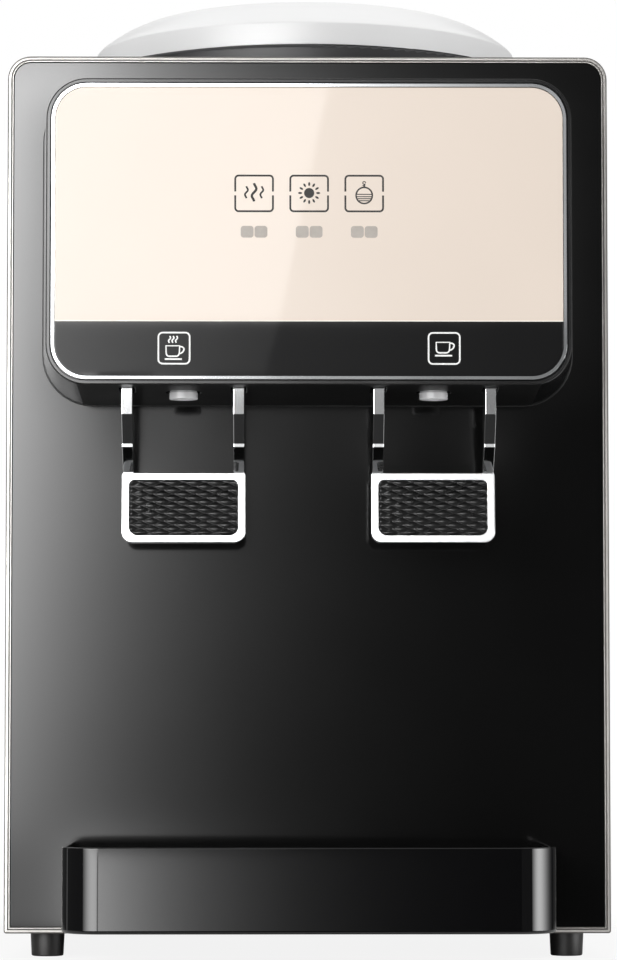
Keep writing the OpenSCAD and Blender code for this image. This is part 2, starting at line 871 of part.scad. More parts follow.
module nozzle(side) {
    color("#d9d9db") at_tap(side) difference() {
        union() {
            rod_z(nozzle_r, nozzle_z, nozzle_z + nozzle_rim);
            rod_z(nozzle_r - 0.3, nozzle_z, nozzle_z + nozzle_l);
        }
        rod_z(spigot_r + slip, spigot_z0, nozzle_z + nozzle_l + eps);
        rod_z(outlet_r + 0.1, nozzle_z - eps, spigot_z0 + eps);
    }
}

module tap_cap(side) {
    outer = chamber_r + slip + cap_wall;
    color("#e9e9e6") at_tap(side) difference() {
        rod_z(outer, chamber_top - cap_skirt, chamber_top + cap_t);
        rod_z(chamber_r + slip, chamber_top - cap_skirt - eps, chamber_top);
        rod_z(stem_r + 0.1, chamber_top - eps, chamber_top + cap_t + eps);
        rod_y(shank_r + 0.3, 0, outer + 1, 0, shank_z);
    }
}

module valve_stem(side) {
    color("#f4f4f2") at_tap(side) {
        rod_z(chamber_r - chamber_wall - 1, disc_z, disc_z + disc_t);
        rod_z(stem_r, disc_z, button_z + button_t);
        rod_z(button_r, button_z, button_z + button_t);
    }
}

module valve_seal(side) {
    color("#d8d3cc") at_tap(side) rod_z(chamber_r - chamber_wall - 1, seal_z, seal_z + seal_t);
}

// A coil spring between the stem's disc and the cap
module valve_spring(side) {
    rise = spring_z1 - spring_z0 - spring_wire;
    steps = spring_turns * 8;
    coil = [for (i = [0:steps]) let (a = 360 * i / 8)
        [spring_coil_r * cos(a), spring_coil_r * sin(a), spring_z0 + spring_wire / 2 + rise * i / steps]];
    echo("gap between the spring's turns, mm", rise / spring_turns - spring_wire);
    color("#b8bac0") at_tap(side) swept_rod(coil, spring_wire / 2, 6);
}

// Side outline of an arm, in reach and height, from the pivot down to the paddle
function arm_outline() = let (back = arm_p - arm_t, drop = paddle_t) [
    [arm_p, pivot_z], [arm_p, knee_z], [step_p, step_z], [step_p, step_z - step_h],
    [paddle_top_p, lever_z1], [paddle_top_p - 0.3, lever_z1 - 3],
    [paddle_top_p - drop + 0.2, lever_z1 - 3], [paddle_top_p - drop, lever_z1 + 2],
    [step_p - arm_t, step_z + 1.5], [back, knee_z + 2], [back, pivot_z]];

// Places children on the middle of the paddle's face, with its outward side at -Y
module at_paddle() {
    translate([0, panel_y - paddle_p, paddle_mid_z]) rotate([-paddle_lean, 0, 0]) children();
}

module lever(side) {
    slant_h = paddle_h / cos(paddle_lean);
    color("#d5d6d8") translate([side * tap_x, 0, 0]) difference() {
        union() {
            for (s = [-1, 1]) {
                x0 = s > 0 ? arm_hw - arm_w : -arm_hw;
                along_x(x0, x0 + arm_w) polygon([for (q = arm_outline()) [panel_y - q[0], q[1]]]);
                rod_x(boss_hub_r, x0, x0 + arm_w, pivot_y, pivot_z);
            }
            rod_x(hub_r, -arm_hw, arm_hw, pivot_y, pivot_z);
            for (s = [-1, 1]) {
                x0 = s > 0 ? prong_gap : -prong_gap - prong_w;
                rod_x(prong_r, x0, x0 + prong_w, tap_y, pivot_z);
                translate([x0, pivot_y, pivot_z - prong_r]) cube([prong_w, pivot_arm, 2 * prong_r]);
            }
            at_paddle() along_y(0, paddle_t)
                round_rect(lever_w, -slant_h / 2, slant_h / 2, paddle_r, 1);
        }
        at_paddle() along_y(-1, pad_seat) pad_outline(0);
        rod_x(pin_r + slip, -far, far, pivot_y, pivot_z);
    }
}

// Outline of the pad on the paddle's face, set in from its seat
module pad_outline(inset) {
    slant_h = paddle_h / cos(paddle_lean);
    w = lever_w - 2 * (pad_border + inset);
    round_rect(w, -slant_h / 2 + pad_border + inset, slant_h / 2 - pad_border - inset,
        pad_r_bottom - inset, pad_r_top - inset);
}

module lever_pad(side) {
    color("#1d1d1f") translate([side * tap_x, 0, 0]) at_paddle()
        along_y(-pad_proud, pad_seat) pad_outline(slip);
}

module pivot_pin(side) {
    end = ear_x + ear_t;
    color("#c4c6ca") translate([side * tap_x, 0, 0]) {
        rod_x(pin_r, -end - 0.8, end + 0.1, pivot_y, pivot_z);
        rod_x(pin_head_r, end, end + pin_head_t, pivot_y, pivot_z);
    }
}

// Drip tray

module drip_tray() {
    rear = panel_y - tray_gap;
    color("#0e0e0f") {
        difference() {
            translate([0, 0, tray_z0]) linear_extrude(tray_h) tray_plan(0);
            translate([0, 0, tray_z0 + tray_wall]) linear_extrude(tray_h) tray_plan(tray_wall);
            translate([-tray_w / 2 + tray_wall, rear - tray_wall - 1, grille_z1])
                cube([tray_w - 2 * tray_wall, tray_wall + 2, tray_h]);
        }
        translate([0, 0, grille_z0 - grille_ledge - 0.1]) linear_extrude(grille_ledge) difference() {
            tray_plan(tray_wall - eps);
            tray_plan(tray_wall + grille_ledge);
        }
        for (sx = [-1, 1])
            translate([sx * tab_x - tab_w / 2, rear - tray_wall / 2, tab_z])
                cube([tab_w, tray_wall / 2 + tray_gap + tab_l, tab_t]);
    }
}

module drip_grille() {
    usable = tray_w - 2 * (tray_wall + tray_r / 2);
    count = floor(usable / slot_pitch / 2);
    mid_y = panel_y - tray_p / 2;
    color("#1a1a1b") difference() {
        union() {
            translate([0, 0, grille_z0]) linear_extrude(grille_t) tray_plan(tray_wall + 0.3);
            for (sx = [-1, 1])
                translate([sx * lift_x - lift_w / 2, panel_y - tray_wall - 4, grille_z0 + eps])
                    cube([lift_w, 2, grille_t + lift_h - eps]);
        }
        for (i = [-count:count], row = slot_rows)
            translate([i * slot_pitch, mid_y + row * (slot_l / 2 + 2.5), grille_z0 - eps])
                linear_extrude(grille_t + 2 * eps) grille_slot();
    }
}

// One slot of the grille, with round ends
module grille_slot() {
    straight = slot_l - slot_w;
    square([slot_w, straight], center = true);
    for (s = [-1, 1]) translate([0, s * straight / 2]) circle(r = slot_w / 2, $fn = 24);
}

// Bottle seat

// Point on the seat's domed shoulder, from the crease at 0 to the rim at 1, and its depth under the skin
function shoulder_at(t, depth) = [
    collar_r - rim_in * t - 0.45 * depth,
    collar_z1 + collar_shoulder * t + 4 * shoulder_bulge * t * (1 - t) - 1.05 * depth];

module bottle_collar() {
    funnel_in = collar_r - rim_in - rim_w;
    profile = concat(
        [[collar_r, collar_z0], [collar_r, collar_z1 - 1]],
        [for (i = [1:shoulder_steps]) shoulder_at(i / shoulder_steps, 0)],
        [[funnel_in + 0.8, collar_top], [funnel_in - 0.6, collar_top - 0.6],
        [throat_r + 2, throat_z1 + 2], [throat_r, throat_z1],
        [throat_r, throat_z0], [well_r, throat_z0],
        [well_r, well_z0], [tube_r, well_z0], [tube_r, throat_z1 - 1]],
        [for (t = [1, 2 / 3, 1 / 3]) shoulder_at(t, collar_wall)],
        [[collar_r - collar_wall, collar_z1 - 1], [collar_r - collar_wall, collar_z0]]);
    color("#f5f5f4") at_seat() rotate_extrude() polygon(profile);
}

// A hollow spike that opens the bottle's cap, on a base that closes the well's lower end
module bottle_probe() {
    shaft_z1 = probe_tip_z - probe_r + probe_tip_r;
    bore = probe_r - probe_wall;
    spigot_bore = probe_spigot_r - probe_spigot_wall;
    window_w = 4;
    window_z0 = well_z0 + 2;
    window_h = shaft_z1 - 2 - window_z0;
    color("#e6eaec") at_seat() difference() {
        rotate_extrude() polygon([
            [spigot_bore, well_z0 - spigot_drop], [probe_spigot_r, well_z0 - spigot_drop],
            [probe_spigot_r, probe_base_z0], [tube_r, probe_base_z0], [tube_r, well_z0], [probe_r, well_z0],
            [probe_r, shaft_z1], [probe_tip_r, probe_tip_z], [0, probe_tip_z], [0, shaft_z1 - 2],
            [bore, shaft_z1 - 2], [bore, probe_base_z0], [spigot_bore, probe_base_z0 - probe_spigot_wall]]);
        for (a = [0, 90]) rotate(a)
            translate([-probe_r - 1, -window_w / 2, window_z0]) cube([2 * probe_r + 2, window_w, window_h]);
    }
}

module collar_gasket() {
    outer = collar_r - gasket_in;
    color("#b9bbbd") at_seat() ring_z(outer, outer - gasket_w, plateau_z, plateau_z + gasket_t);
}

// Where each stub leaves the reservoir's floor, from the seat's axis
cold_stub_at = [20, -30];
feed_stub_at = [35, 15];
vent_stub_at = [tank_cx + vent_at.x, tank_y + vent_at.y - seat_y];

// An open cup that hangs by its lip on the top cover's ledge
module reservoir() {
    color("#dfe6ea") at_seat() difference() {
        union() {
            rod_z(reservoir_r, reservoir_z0, reservoir_z1 + wall);
            rod_z(reservoir_r + reservoir_lip, reservoir_z1, reservoir_z1 + wall);
            for (at = [cold_stub_at, feed_stub_at, vent_stub_at])
                rod_z(barb_r, reservoir_z0 - stub_l, reservoir_z0 + 1, at.x, at.y);
        }
        difference() {
            rod_z(reservoir_r - wall, reservoir_z0 + wall, reservoir_z1 + wall + eps);
            rod_z(barb_r, reservoir_z0, standpipe_z1, vent_stub_at.x, vent_stub_at.y);
        }
        for (at = [cold_stub_at, feed_stub_at])
            rod_z(barb_bore, reservoir_z0 - stub_l - eps, reservoir_z0 + wall + eps, at.x, at.y);
        rod_z(barb_bore, reservoir_z0 - stub_l - eps, reservoir_z1, vent_stub_at.x, vent_stub_at.y);
    }
}

// Hot tank

module hot_tank() {
    color("#c9ccd0") at_tank() difference() {
        union() {
            rod_z(tank_r, tank_z0, tank_z1);
            for (at = [inlet_at, drain_at]) rod_z(barb_r, tank_z0 - stub_l, tank_z0 + 1, at.x, at.y);
            for (at = [outlet_at, vent_at]) rod_z(barb_r, tank_z1 - 1, tank_z1 + top_stub_l, at.x, at.y);
        }
        rod_z(tank_r - tank_wall, tank_z0 + tank_wall, tank_z1 - tank_wall);
        for (at = [inlet_at, drain_at])
            rod_z(barb_bore, tank_z0 - stub_l - eps, tank_z0 + tank_wall + eps, at.x, at.y);
        for (at = [outlet_at, vent_at])
            rod_z(barb_bore, tank_z1 - tank_wall - eps, tank_z1 + top_stub_l + eps, at.x, at.y);
        for (s = [-1, 1]) rod_z(heater_r + slip, tank_z0 - eps, tank_z0 + tank_wall + eps, s * heater_x);
    }
}

module tank_jacket() {
    inner_top = tank_z1 + jacket_gap;
    color("#efeee8") at_tank() difference() {
        rod_z(jacket_r, tank_z0 + 0.2, inner_top + jacket_t);
        rod_z(tank_r + jacket_gap, tank_z0 - eps, inner_top);
        for (at = [outlet_at, vent_at])
            rod_z(barb_r + 0.4, inner_top - eps, inner_top + jacket_t + eps, at.x, at.y);
    }
}

// A ring plate on three legs
module tank_stand() {
    color("#9a9da2") at_tank() {
        ring_z(stand_r, stand_hole, stand_z1 - 2, stand_z1);
        for (a = [90, 210, 330]) rotate(a) rod_z(leg_r, stand_z0, stand_z1 - 1, leg_ring, 0);
    }
}

// A bent tube element through the tank's floor
module heating_element() {
    bend_z = tank_z0 + tank_wall + heater_top;
    color("#a9a6a0") at_tank() {
        for (s = [-1, 1]) rod_z(heater_r, tank_z0 - heater_tail, bend_z, s * heater_x);
        translate([0, 0, bend_z]) rotate([90, 0, 0]) rotate_extrude(angle = 180)
            translate([heater_x, 0]) circle(r = heater_r);
        rod_z(heater_flange_r, tank_z0 + tank_wall, tank_z0 + tank_wall + 2);
    }
}

module tank_thermostats() {
    color("#3a3a3c") at_tank() for (s = [-1, 1])
        rod_z(thermostat_r, tank_z0 - thermostat_t, tank_z0, 0, s * thermostat_off);
}

// Hoses: each route runs straight over the stub at either end

module hose(route) { color("#e8e6e0") swept_hose(smooth_route(route), hose_r, hose_bore, hose_sides); }

// Rear end of a tap's hose stub
function tap_stub(side) = [side * tap_x, panel_back + shank_tail + barb_l, shank_z];

module feed_hose() {
    from = [feed_stub_at.x, seat_y + feed_stub_at.y, reservoir_z0];
    to = [tank_cx + inlet_at.x, tank_y + inlet_at.y, tank_z0];
    side_x = max(tank_cx + jacket_r + hose_r + 6, from.x);
    hose([from - [0, 0, 1], from - [0, 0, 14], [side_x, from.y, from.z - 40],
        [side_x, from.y, (from.z + to.z) / 2], [side_x, from.y, to.z - 14],
        [(side_x + to.x) / 2 + 6, to.y - 4, to.z - 30], to - [0, 0, 24], to - [0, 0, 14], to - [0, 0, 1]]);
}

module cold_hose() {
    from = [cold_stub_at.x, seat_y + cold_stub_at.y, reservoir_z0];
    to = tap_stub(COLD);
    hose([from - [0, 0, 1], from - [0, 0, stub_l], from - [0, 0, stub_l + hose_run], from - [-2, 6, 30],
        [(from.x + to.x) / 2, (from.y + to.y) / 2, to.z - 2],
        to + [0, 14, 0], to + [0, 2, 0], to - [0, barb_l - 1.5, 0]]);
}

module hot_hose() {
    from = [tank_cx + outlet_at.x, tank_y + outlet_at.y, tank_z1 + top_stub_l];
    to = tap_stub(HOT);
    hose([from - [0, 0, hose_grip], from, from + [0, 0, hose_run], from + [0, -8, 28],
        [(from.x + to.x) / 2, to.y + 44, to.z - 2],
        to + [0, 18, 0], to + [0, 2, 0], to - [0, barb_l - 1.5, 0]]);
}

module vent_hose() {
    from = [tank_cx + vent_at.x, tank_y + vent_at.y, tank_z1 + top_stub_l];
    hose([from - [0, 0, hose_grip], [from.x, from.y, reservoir_z0 - 1]]);
}

module drain_hose() {
    from = [tank_cx + drain_at.x, tank_y + drain_at.y, tank_z0];
    to = [-fittings_x, rear_y - wall - spout_flange_t - barb_l, low_z];
    hose([from - [0, 0, 1], from - [0, 0, stub_l], from - [0, 0, stub_l + hose_run], from + [-2, 8, -27],
        [to.x, to.y - 20, to.z], to - [0, 2, 0], to + [0, barb_l - 1, 0]]);
}

// Rear fittings

module drain_spout() {
    color("#e4e4e2") translate([-fittings_x, 0, low_z]) difference() {
        union() {
            rod_y(barb_r, rear_y - wall - spout_flange_t - barb_l, rear_y - wall);
            rod_y(spout_r, rear_y - wall - 1, rear_y + spout_out);
            rod_y(spout_flange_r, rear_y - wall - spout_flange_t, rear_y - wall);
        }
        rod_y(spout_bore, rear_y, rear_y + spout_out + eps);
        rod_y(barb_bore, rear_y - wall - spout_flange_t - barb_l - eps, rear_y + eps);
    }
}

// A fluted cap over the drain spout
module drain_cap() {
    y0 = rear_y + 0.3;
    y1 = rear_y + cap_stick;
    color("#1c1c1e") translate([-fittings_x, 0, low_z]) difference() {
        rod_y(drain_cap_r, y0, y1);
        for (i = [0:drain_flutes - 1]) rotate([0, 360 / drain_flutes * i, 0])
            rod_y(flute_r, y0 - eps, y1 - 2, drain_cap_r + flute_r / 4, 0, $fn = 24);
        rod_y(spout_r + drain_cap_play, y0 - eps, rear_y + spout_out + drain_cap_play);
    }
}

module switch_body() {
    color("#151516") translate([fittings_x, 0, switch_z]) difference() {
        union() {
            along_y(rear_y, rear_y + bezel_t) round_rect(bezel_w, -bezel_h / 2, bezel_h / 2, 2, 2);
            along_y(rear_y + bezel_t / 2 - switch_d, rear_y + bezel_t / 2)
                square([switch_w, switch_h], center = true);
        }
        along_y(rear_y - 12, rear_y + far)
            square([rocker_w + 2 * rocker_play, 2 * (rocker_r + rocker_play)], center = true);
    }
}

// A rocker whose ends are round about its pivot, resting with its lower half pressed
module switch_rocker() {
    pivot = rear_y - 1;
    end_z = rocker_r + 2;
    end_y = rocker_rise - rocker_r * tan(rocker_slope);
    color("#a31f1c") translate([fittings_x, 0, switch_z]) intersection() {
        rod_x(rocker_r, -rocker_w / 2, rocker_w / 2, pivot);
        along_x(-rocker_w / 2, rocker_w / 2) translate([pivot, 0]) rotate(-rocker_swing / 2) polygon([
            [-rocker_r, -end_z], [end_y, -end_z], [rocker_rise, 0], [end_y, end_z], [-rocker_r, end_z]]);
    }
}

module cord_gland() {
    color("#1a1a1b") translate([fittings_x, 0, low_z]) difference() {
        union() {
            rod_y(gland_flange_r, rear_y, rear_y + gland_flange_t);
            rod_y(gland_r, rear_y - gland_l, rear_y + gland_flange_t);
        }
        rod_y(cord_r, rear_y - gland_l - eps, rear_y + gland_flange_t + eps);
    }
}

// Leads from the switch to the heater and to the indicator board
module wiring_loom() {
    back = rear_y + bezel_t / 2 - switch_d;
    heater = [tank_cx + heater_x, tank_y, tank_z0 - heater_tail];
    board = [0, panel_y - window_back_p + light_box_t + board_t, lamp_z];
    start = [fittings_x, back, switch_z];
    side_x = body_hw - lead_side_in;
    low = start + [-lead_off, 0, -lead_off];
    high = start + [lead_off, 0, lead_off];
    run = [0, lead_run, 0];
    routes = [
        [low, low - run, low - 2 * run, [(start.x + heater.x) / 2, back - 4 * lead_run, heater.z + lead_off],
            [heater.x + lead_off, tank_y + lead_round, heater.z - lead_dip],
            [heater.x, tank_y + lead_turn, heater.z - lead_turn], heater - [0, 0, lead_dip - lead_off],
            heater - [0, 0, lead_off], heater],
        [high, high - run, high - 2 * run, [side_x, rear_y - lead_climb, switch_z + lead_climb],
            [side_x, seat_y, reservoir_z0 - lead_under],
            [side_x - lead_in, panel_y + lead_under, lamp_z - lead_in],
            [lead_off, panel_y + lead_dip, lamp_z], [0, panel_y, lamp_z], board + [0, lead_dip, 0], board]];
    color("#2c2c2e") for (r = routes) swept_rod(smooth_route(r), wire_r, wire_sides);
}

module rear_screws() {
    color("#b4b6ba") for (sx = [-1, 1], z = rear_screw_z) {
        rod_y(screw_r, rear_y - 2 * wall - 3, rear_y + eps, sx * rear_screw_x, z);
        rod_y(screw_head_r, rear_y, rear_y + screw_head_t, sx * rear_screw_x, z);
    }
}

module head_screws() {
    color("#b4b6ba") at_head_bosses() {
        rod_y(screw_r, panel_y - boss_p + 3, panel_back + eps);
        rod_y(screw_head_r, panel_back, panel_back + screw_head_t);
    }
}

base_plate();
feet();
left_side_cover();
right_side_cover();
rear_panel();
top_cover();
front_panel();
front_trim();
head_shell();
head_trim_ring();
display_window();
light_box();
indicator_board();
indicator_leds();
tap_bracket(HOT);  // tap_bracket_hot
tap_bracket(COLD);  // tap_bracket_cold
tap_body(HOT);  // tap_body_hot
tap_body(COLD);  // tap_body_cold
tap_nut(HOT);  // tap_nut_hot
tap_nut(COLD);  // tap_nut_cold
nozzle(HOT);  // nozzle_hot
nozzle(COLD);  // nozzle_cold
tap_cap(HOT);  // tap_cap_hot
tap_cap(COLD);  // tap_cap_cold
valve_stem(HOT);  // valve_stem_hot
valve_stem(COLD);  // valve_stem_cold
valve_seal(HOT);  // valve_seal_hot
valve_seal(COLD);  // valve_seal_cold
valve_spring(HOT);  // valve_spring_hot
valve_spring(COLD);  // valve_spring_cold
lever(HOT);  // lever_hot
lever(COLD);  // lever_cold
lever_pad(HOT);  // lever_pad_hot
lever_pad(COLD);  // lever_pad_cold
pivot_pin(HOT);  // pivot_pin_hot
pivot_pin(COLD);  // pivot_pin_cold
drip_tray();
drip_grille();
bottle_collar();
bottle_probe();
collar_gasket();
reservoir();
hot_tank();
tank_jacket();
tank_stand();
heating_element();
tank_thermostats();
feed_hose();
cold_hose();
hot_hose();
vent_hose();
drain_hose();
drain_spout();
drain_cap();
switch_body();
switch_rocker();
cord_gland();
wiring_loom();
rear_screws();
head_screws();
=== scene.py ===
"""Looks of a countertop water dispenser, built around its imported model."""

import logging
import math
from collections.abc import Callable, Sequence
from dataclasses import dataclass
from enum import Enum
from typing import ClassVar

import bmesh
import bpy
from bmesh.types import BMesh, BMEdge, BMFace, BMVert
from mathutils import Matrix, Vector


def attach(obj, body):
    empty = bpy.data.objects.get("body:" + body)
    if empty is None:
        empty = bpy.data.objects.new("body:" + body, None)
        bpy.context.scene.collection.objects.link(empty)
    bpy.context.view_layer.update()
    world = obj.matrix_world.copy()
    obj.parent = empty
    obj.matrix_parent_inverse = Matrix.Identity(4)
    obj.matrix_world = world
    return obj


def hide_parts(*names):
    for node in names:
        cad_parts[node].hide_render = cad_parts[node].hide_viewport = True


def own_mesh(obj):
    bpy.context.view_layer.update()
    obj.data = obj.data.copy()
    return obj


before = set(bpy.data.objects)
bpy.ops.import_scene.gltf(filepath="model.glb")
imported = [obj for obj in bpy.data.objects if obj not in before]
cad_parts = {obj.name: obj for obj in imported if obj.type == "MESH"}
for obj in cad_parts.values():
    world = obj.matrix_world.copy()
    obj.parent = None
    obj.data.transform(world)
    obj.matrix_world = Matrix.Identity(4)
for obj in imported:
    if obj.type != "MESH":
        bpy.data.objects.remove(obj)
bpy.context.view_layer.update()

MM = 0.001
MICRON = 1e-6
# Y of the front panel's face, of the window's face and of the bottle seat's axis, in millimetres
PANEL_Y = -92.5
WINDOW_Y = PANEL_Y - 63.6
SEAT_Y = 34.5
# Millimetres that two outlines are held apart while they are joined
LOFT_GAP = 1.0
# Turns a flat shape to face the front
UPRIGHT = Matrix.Rotation(math.radians(90), 3, "X")
# Span of the noise values that most of a surface has
CLOUD_LOW, CLOUD_HIGH = 0.3, 0.7
LEAST_ROUGHNESS = 0.01

Point = tuple[float, float]
Points = tuple[Point, ...]

log = logging.getLogger("dispenser")


class Body(Enum):
    """Moving bodies of the model that pieces ride on."""

    CASING = "casing"
    HOT_LEVER = "hot_lever"
    COLD_LEVER = "cold_lever"
    TRAY = "tray"
    GRILLE = "grille"
    SEAT = "seat"
    ROCKER = "rocker"
    CAP = "cap"


class Tap(Enum):
    """The two taps, by the side that they stand on."""

    HOT = -1
    COLD = 1


# Materials


def linear(colour: str, gain: float = 1.0) -> tuple[float, float, float, float]:
    """Turns a written colour to linear light.

    Args:
        colour: sRGB colour as #rrggbb.
        gain: factor on the linear values.

    Returns:
        Linear red, green and blue, and an alpha of 1.
    """
    parts = [int(colour[i:i + 2], 16) / 255.0 for i in (1, 3, 5)]
    light = [p / 12.92 if p <= 0.04045 else ((p + 0.055) / 1.055) ** 2.4 for p in parts]
    return (min(light[0] * gain, 1.0), min(light[1] * gain, 1.0), min(light[2] * gain, 1.0), 1.0)


def add_node(
    tree: bpy.types.NodeTree, kind: str, settings: dict | None = None, links: dict | None = None
) -> bpy.types.Node:
    """Adds one node with its settings and links.

    Args:
        tree: the node tree.
        kind: the node's type.
        settings: values by property, input name or input number.
        links: source sockets by input name or number.

    Returns:
        The new node.
    """
    node = tree.nodes.new(kind)
    for key, value in (settings or {}).items():
        if isinstance(key, str) and hasattr(node, key):
            setattr(node, key, value)
        else:
            node.inputs[key].default_value = value
    for key, source in (links or {}).items():
        tree.links.new(source, node.inputs[key])
    return node


def fresh_nodes(owner: bpy.types.Material | bpy.types.World) -> bpy.types.NodeTree:
    """Clears the nodes of a new material or world.

    Args:
        owner: the material or world.

    Returns:
        Its node tree.
    """
    owner.use_nodes = True
    owner.node_tree.nodes.clear()
    return owner.node_tree


@dataclass(frozen=True)
class Finish:
    """A surface as it was made: its constants, and the drift and grain that break them up."""

    name: str
    colour: str
    roughness: float
    metallic: float = 0.0
    ior: float = 1.5
    drift: float = 0.04
    drift_mm: float = 40.0
    rough_drift: float = 0.03
    # Blasted and moulded grain is really finer than this, and is made this coarse so that it shows
    grain_mm: float = 0.6
    grain_um: float = 3.0
    # Less than 1 draws the grain out along that axis
    drawn: tuple[float, float, float] = (1.0, 1.0, 1.0)

    def material(self) -> bpy.types.Material:
        """Makes the finish's material on its first use.

        Returns:
            The material.
        """
        made = bpy.data.materials.get(self.name)
        if made is None:
            made = bpy.data.materials.new(self.name)
            tree = fresh_nodes(made)
            place = add_node(tree, "ShaderNodeTexCoord").outputs["Object"]
            shader = add_node(tree, "ShaderNodeBsdfPrincipled", {"Metallic": self.metallic, "IOR": self.ior})
            add_node(tree, "ShaderNodeOutputMaterial", links={"Surface": shader.outputs["BSDF"]})
            self.colour_nodes(tree, place, shader)
            self.relief_nodes(tree, place, shader)
        return made

    def colour_nodes(
        self, tree: bpy.types.NodeTree, place: bpy.types.NodeSocket, shader: bpy.types.Node
    ) -> None:
        """Gives the shader a colour and a gloss that drift slowly over the surface.

        Args:
            tree: the material's nodes.
            place: the surface's own coordinates.
            shader: the shader to feed.
        """
        cloud = add_node(tree, "ShaderNodeTexNoise", {"Scale": 1.0 / (self.drift_mm * MM), "Detail": 2.0},
                         {"Vector": place})
        tone = add_node(tree, "ShaderNodeValToRGB", links={"Fac": cloud.outputs["Fac"]})
        ends = ((CLOUD_LOW, 1.0 - self.drift), (CLOUD_HIGH, 1.0 + self.drift))
        for stop, (position, gain) in zip(tone.color_ramp.elements, ends):
            stop.position = position
            stop.color = linear(self.colour, gain)
        gloss = add_node(
            tree, "ShaderNodeMapRange",
            {"From Min": CLOUD_LOW, "From Max": CLOUD_HIGH,
             "To Min": max(self.roughness - self.rough_drift, LEAST_ROUGHNESS),
             "To Max": self.roughness + self.rough_drift}, {"Value": cloud.outputs["Fac"]})
        tree.links.new(tone.outputs["Color"], shader.inputs["Base Color"])
        tree.links.new(gloss.outputs["Result"], shader.inputs["Roughness"])

    def relief_nodes(
        self, tree: bpy.types.NodeTree, place: bpy.types.NodeSocket, shader: bpy.types.Node
    ) -> None:
        """Gives the shader the surface's fine grain.

        Args:
            tree: the material's nodes.
            place: the surface's own coordinates.
            shader: the shader to feed.
        """
        run = add_node(tree, "ShaderNodeMapping", {"Scale": self.drawn}, {"Vector": place})
        grain = add_node(tree, "ShaderNodeTexNoise", {"Scale": 1.0 / (self.grain_mm * MM), "Detail": 3.0},
                         {"Vector": run.outputs["Vector"]})
        relief = add_node(tree, "ShaderNodeBump", {"Strength": 1.0, "Distance": self.grain_um * MICRON},
                          {"Height": grain.outputs["Fac"]})
        tree.links.new(relief.outputs["Normal"], shader.inputs["Normal"])


@dataclass(frozen=True)
class CellularFoam(Finish):
    """Rigid foam, whose cut cells show as small pits."""

    cell_mm: float = 1.6

    def relief_nodes(
        self, tree: bpy.types.NodeTree, place: bpy.types.NodeSocket, shader: bpy.types.Node
    ) -> None:
        """Gives the shader the pits of the foam's cells.

        Args:
            tree: the material's nodes.
            place: the surface's own coordinates.
            shader: the shader to feed.
        """
        cells = add_node(tree, "ShaderNodeTexVoronoi", {"Scale": 1.0 / (self.cell_mm * MM)},
                         {"Vector": place})
        relief = add_node(tree, "ShaderNodeBump", {"Strength": 0.8, "Distance": self.grain_um * MICRON},
                          {"Height": cells.outputs["Distance"]})
        tree.links.new(relief.outputs["Normal"], shader.inputs["Normal"])


@dataclass(frozen=True)
class CircuitBoard(Finish):
    """Glass-epoxy board with a grid of copper tracks under its green lacquer."""

    track_mm: float = 2.5
    track_colour: str = "#3f8a5c"

    def colour_nodes(
        self, tree: bpy.types.NodeTree, place: bpy.types.NodeSocket, shader: bpy.types.Node
    ) -> None:
        """Gives the shader the lacquer's green, lighter over the tracks.

        Args:
            tree: the material's nodes.
            place: the surface's own coordinates.
            shader: the shader to feed.
        """
        turned = add_node(tree, "ShaderNodeMapping", {"Rotation": (math.radians(90), 0.0, 0.0)},
                          {"Vector": place})
        tracks = add_node(
            tree, "ShaderNodeTexBrick",
            {"Color1": linear(self.colour), "Color2": linear(self.colour, 0.85),
             "Mortar": linear(self.track_colour), "Scale": 1.0 / (2.0 * self.track_mm * MM),
             "Mortar Size": 0.04}, {"Vector": turned.outputs["Vector"]})
        tree.links.new(tracks.outputs["Color"], shader.inputs["Base Color"])
        shader.inputs["Roughness"].default_value = self.roughness


# Clear acrylic painted black on its rear, in the window: a deep mirror-smooth black with a faint waviness
BLACK_ACRYLIC = Finish("back_painted_black_acrylic", "#0a0a0b", 0.028, ior=1.49, rough_drift=0.006,
                       grain_mm=45.0, grain_um=4.0)
# The front panel's own sheet: the same deep black, whose skin blurs what it mirrors
PANEL_ACRYLIC = Finish("black_acrylic_panel", "#0e0e0e", 0.085, ior=1.49, rough_drift=0.004, grain_mm=45.0,
                       grain_um=4.0)
# The window's sheet where it is painted cream: a warm even tone under a clear skin
CREAM_ACRYLIC = Finish("back_painted_cream_acrylic", "#eadccf", 0.028, ior=1.49, drift=0.012, drift_mm=60.0,
                       rough_drift=0.006, grain_mm=45.0, grain_um=4.0)
# Printed line between the two paints, as bright as the cream's edge
EDGE_PRINT = Finish("pale_screen_print", "#fdf6ea", 0.2, drift=0.02, drift_mm=8.0, grain_mm=0.4,
                    grain_um=1.0)
# Anodised aluminium, fine-blasted before it was sealed: a soft pale metal, barely warm
ANODISED_ALUMINIUM = Finish("pale_anodised_aluminium", "#cbc8c4", 0.34, metallic=0.6, drift=0.03,
                            grain_mm=0.35, grain_um=2.0, drawn=(1.0, 1.0, 0.25))
# The same metal painted darker along the edges and in the groove, as painted shade: a duller, darker line
SHADED_EDGE_ALUMINIUM = Finish("aluminium_painted_shade_edge", "#5f5c58", 0.55, drift=0.05, drift_mm=9.0, grain_mm=0.3,
                       grain_um=3.0, drawn=(1.0, 1.0, 0.25))
# ABS from a polished mould: black, glossy, slightly uneven where it shrank
GLOSS_ABS = Finish("polished_black_abs", "#101011", 0.16, ior=1.54, drift=0.06, grain_mm=12.0, grain_um=4.0)
# The tray's ABS, from a more highly polished mould: a deep black with clear reflections
TRAY_ABS = Finish("tray_black_abs", "#0b0b0c", 0.05, ior=1.54, drift=0.06, rough_drift=0.01, grain_mm=18.0,
                  grain_um=4.0)
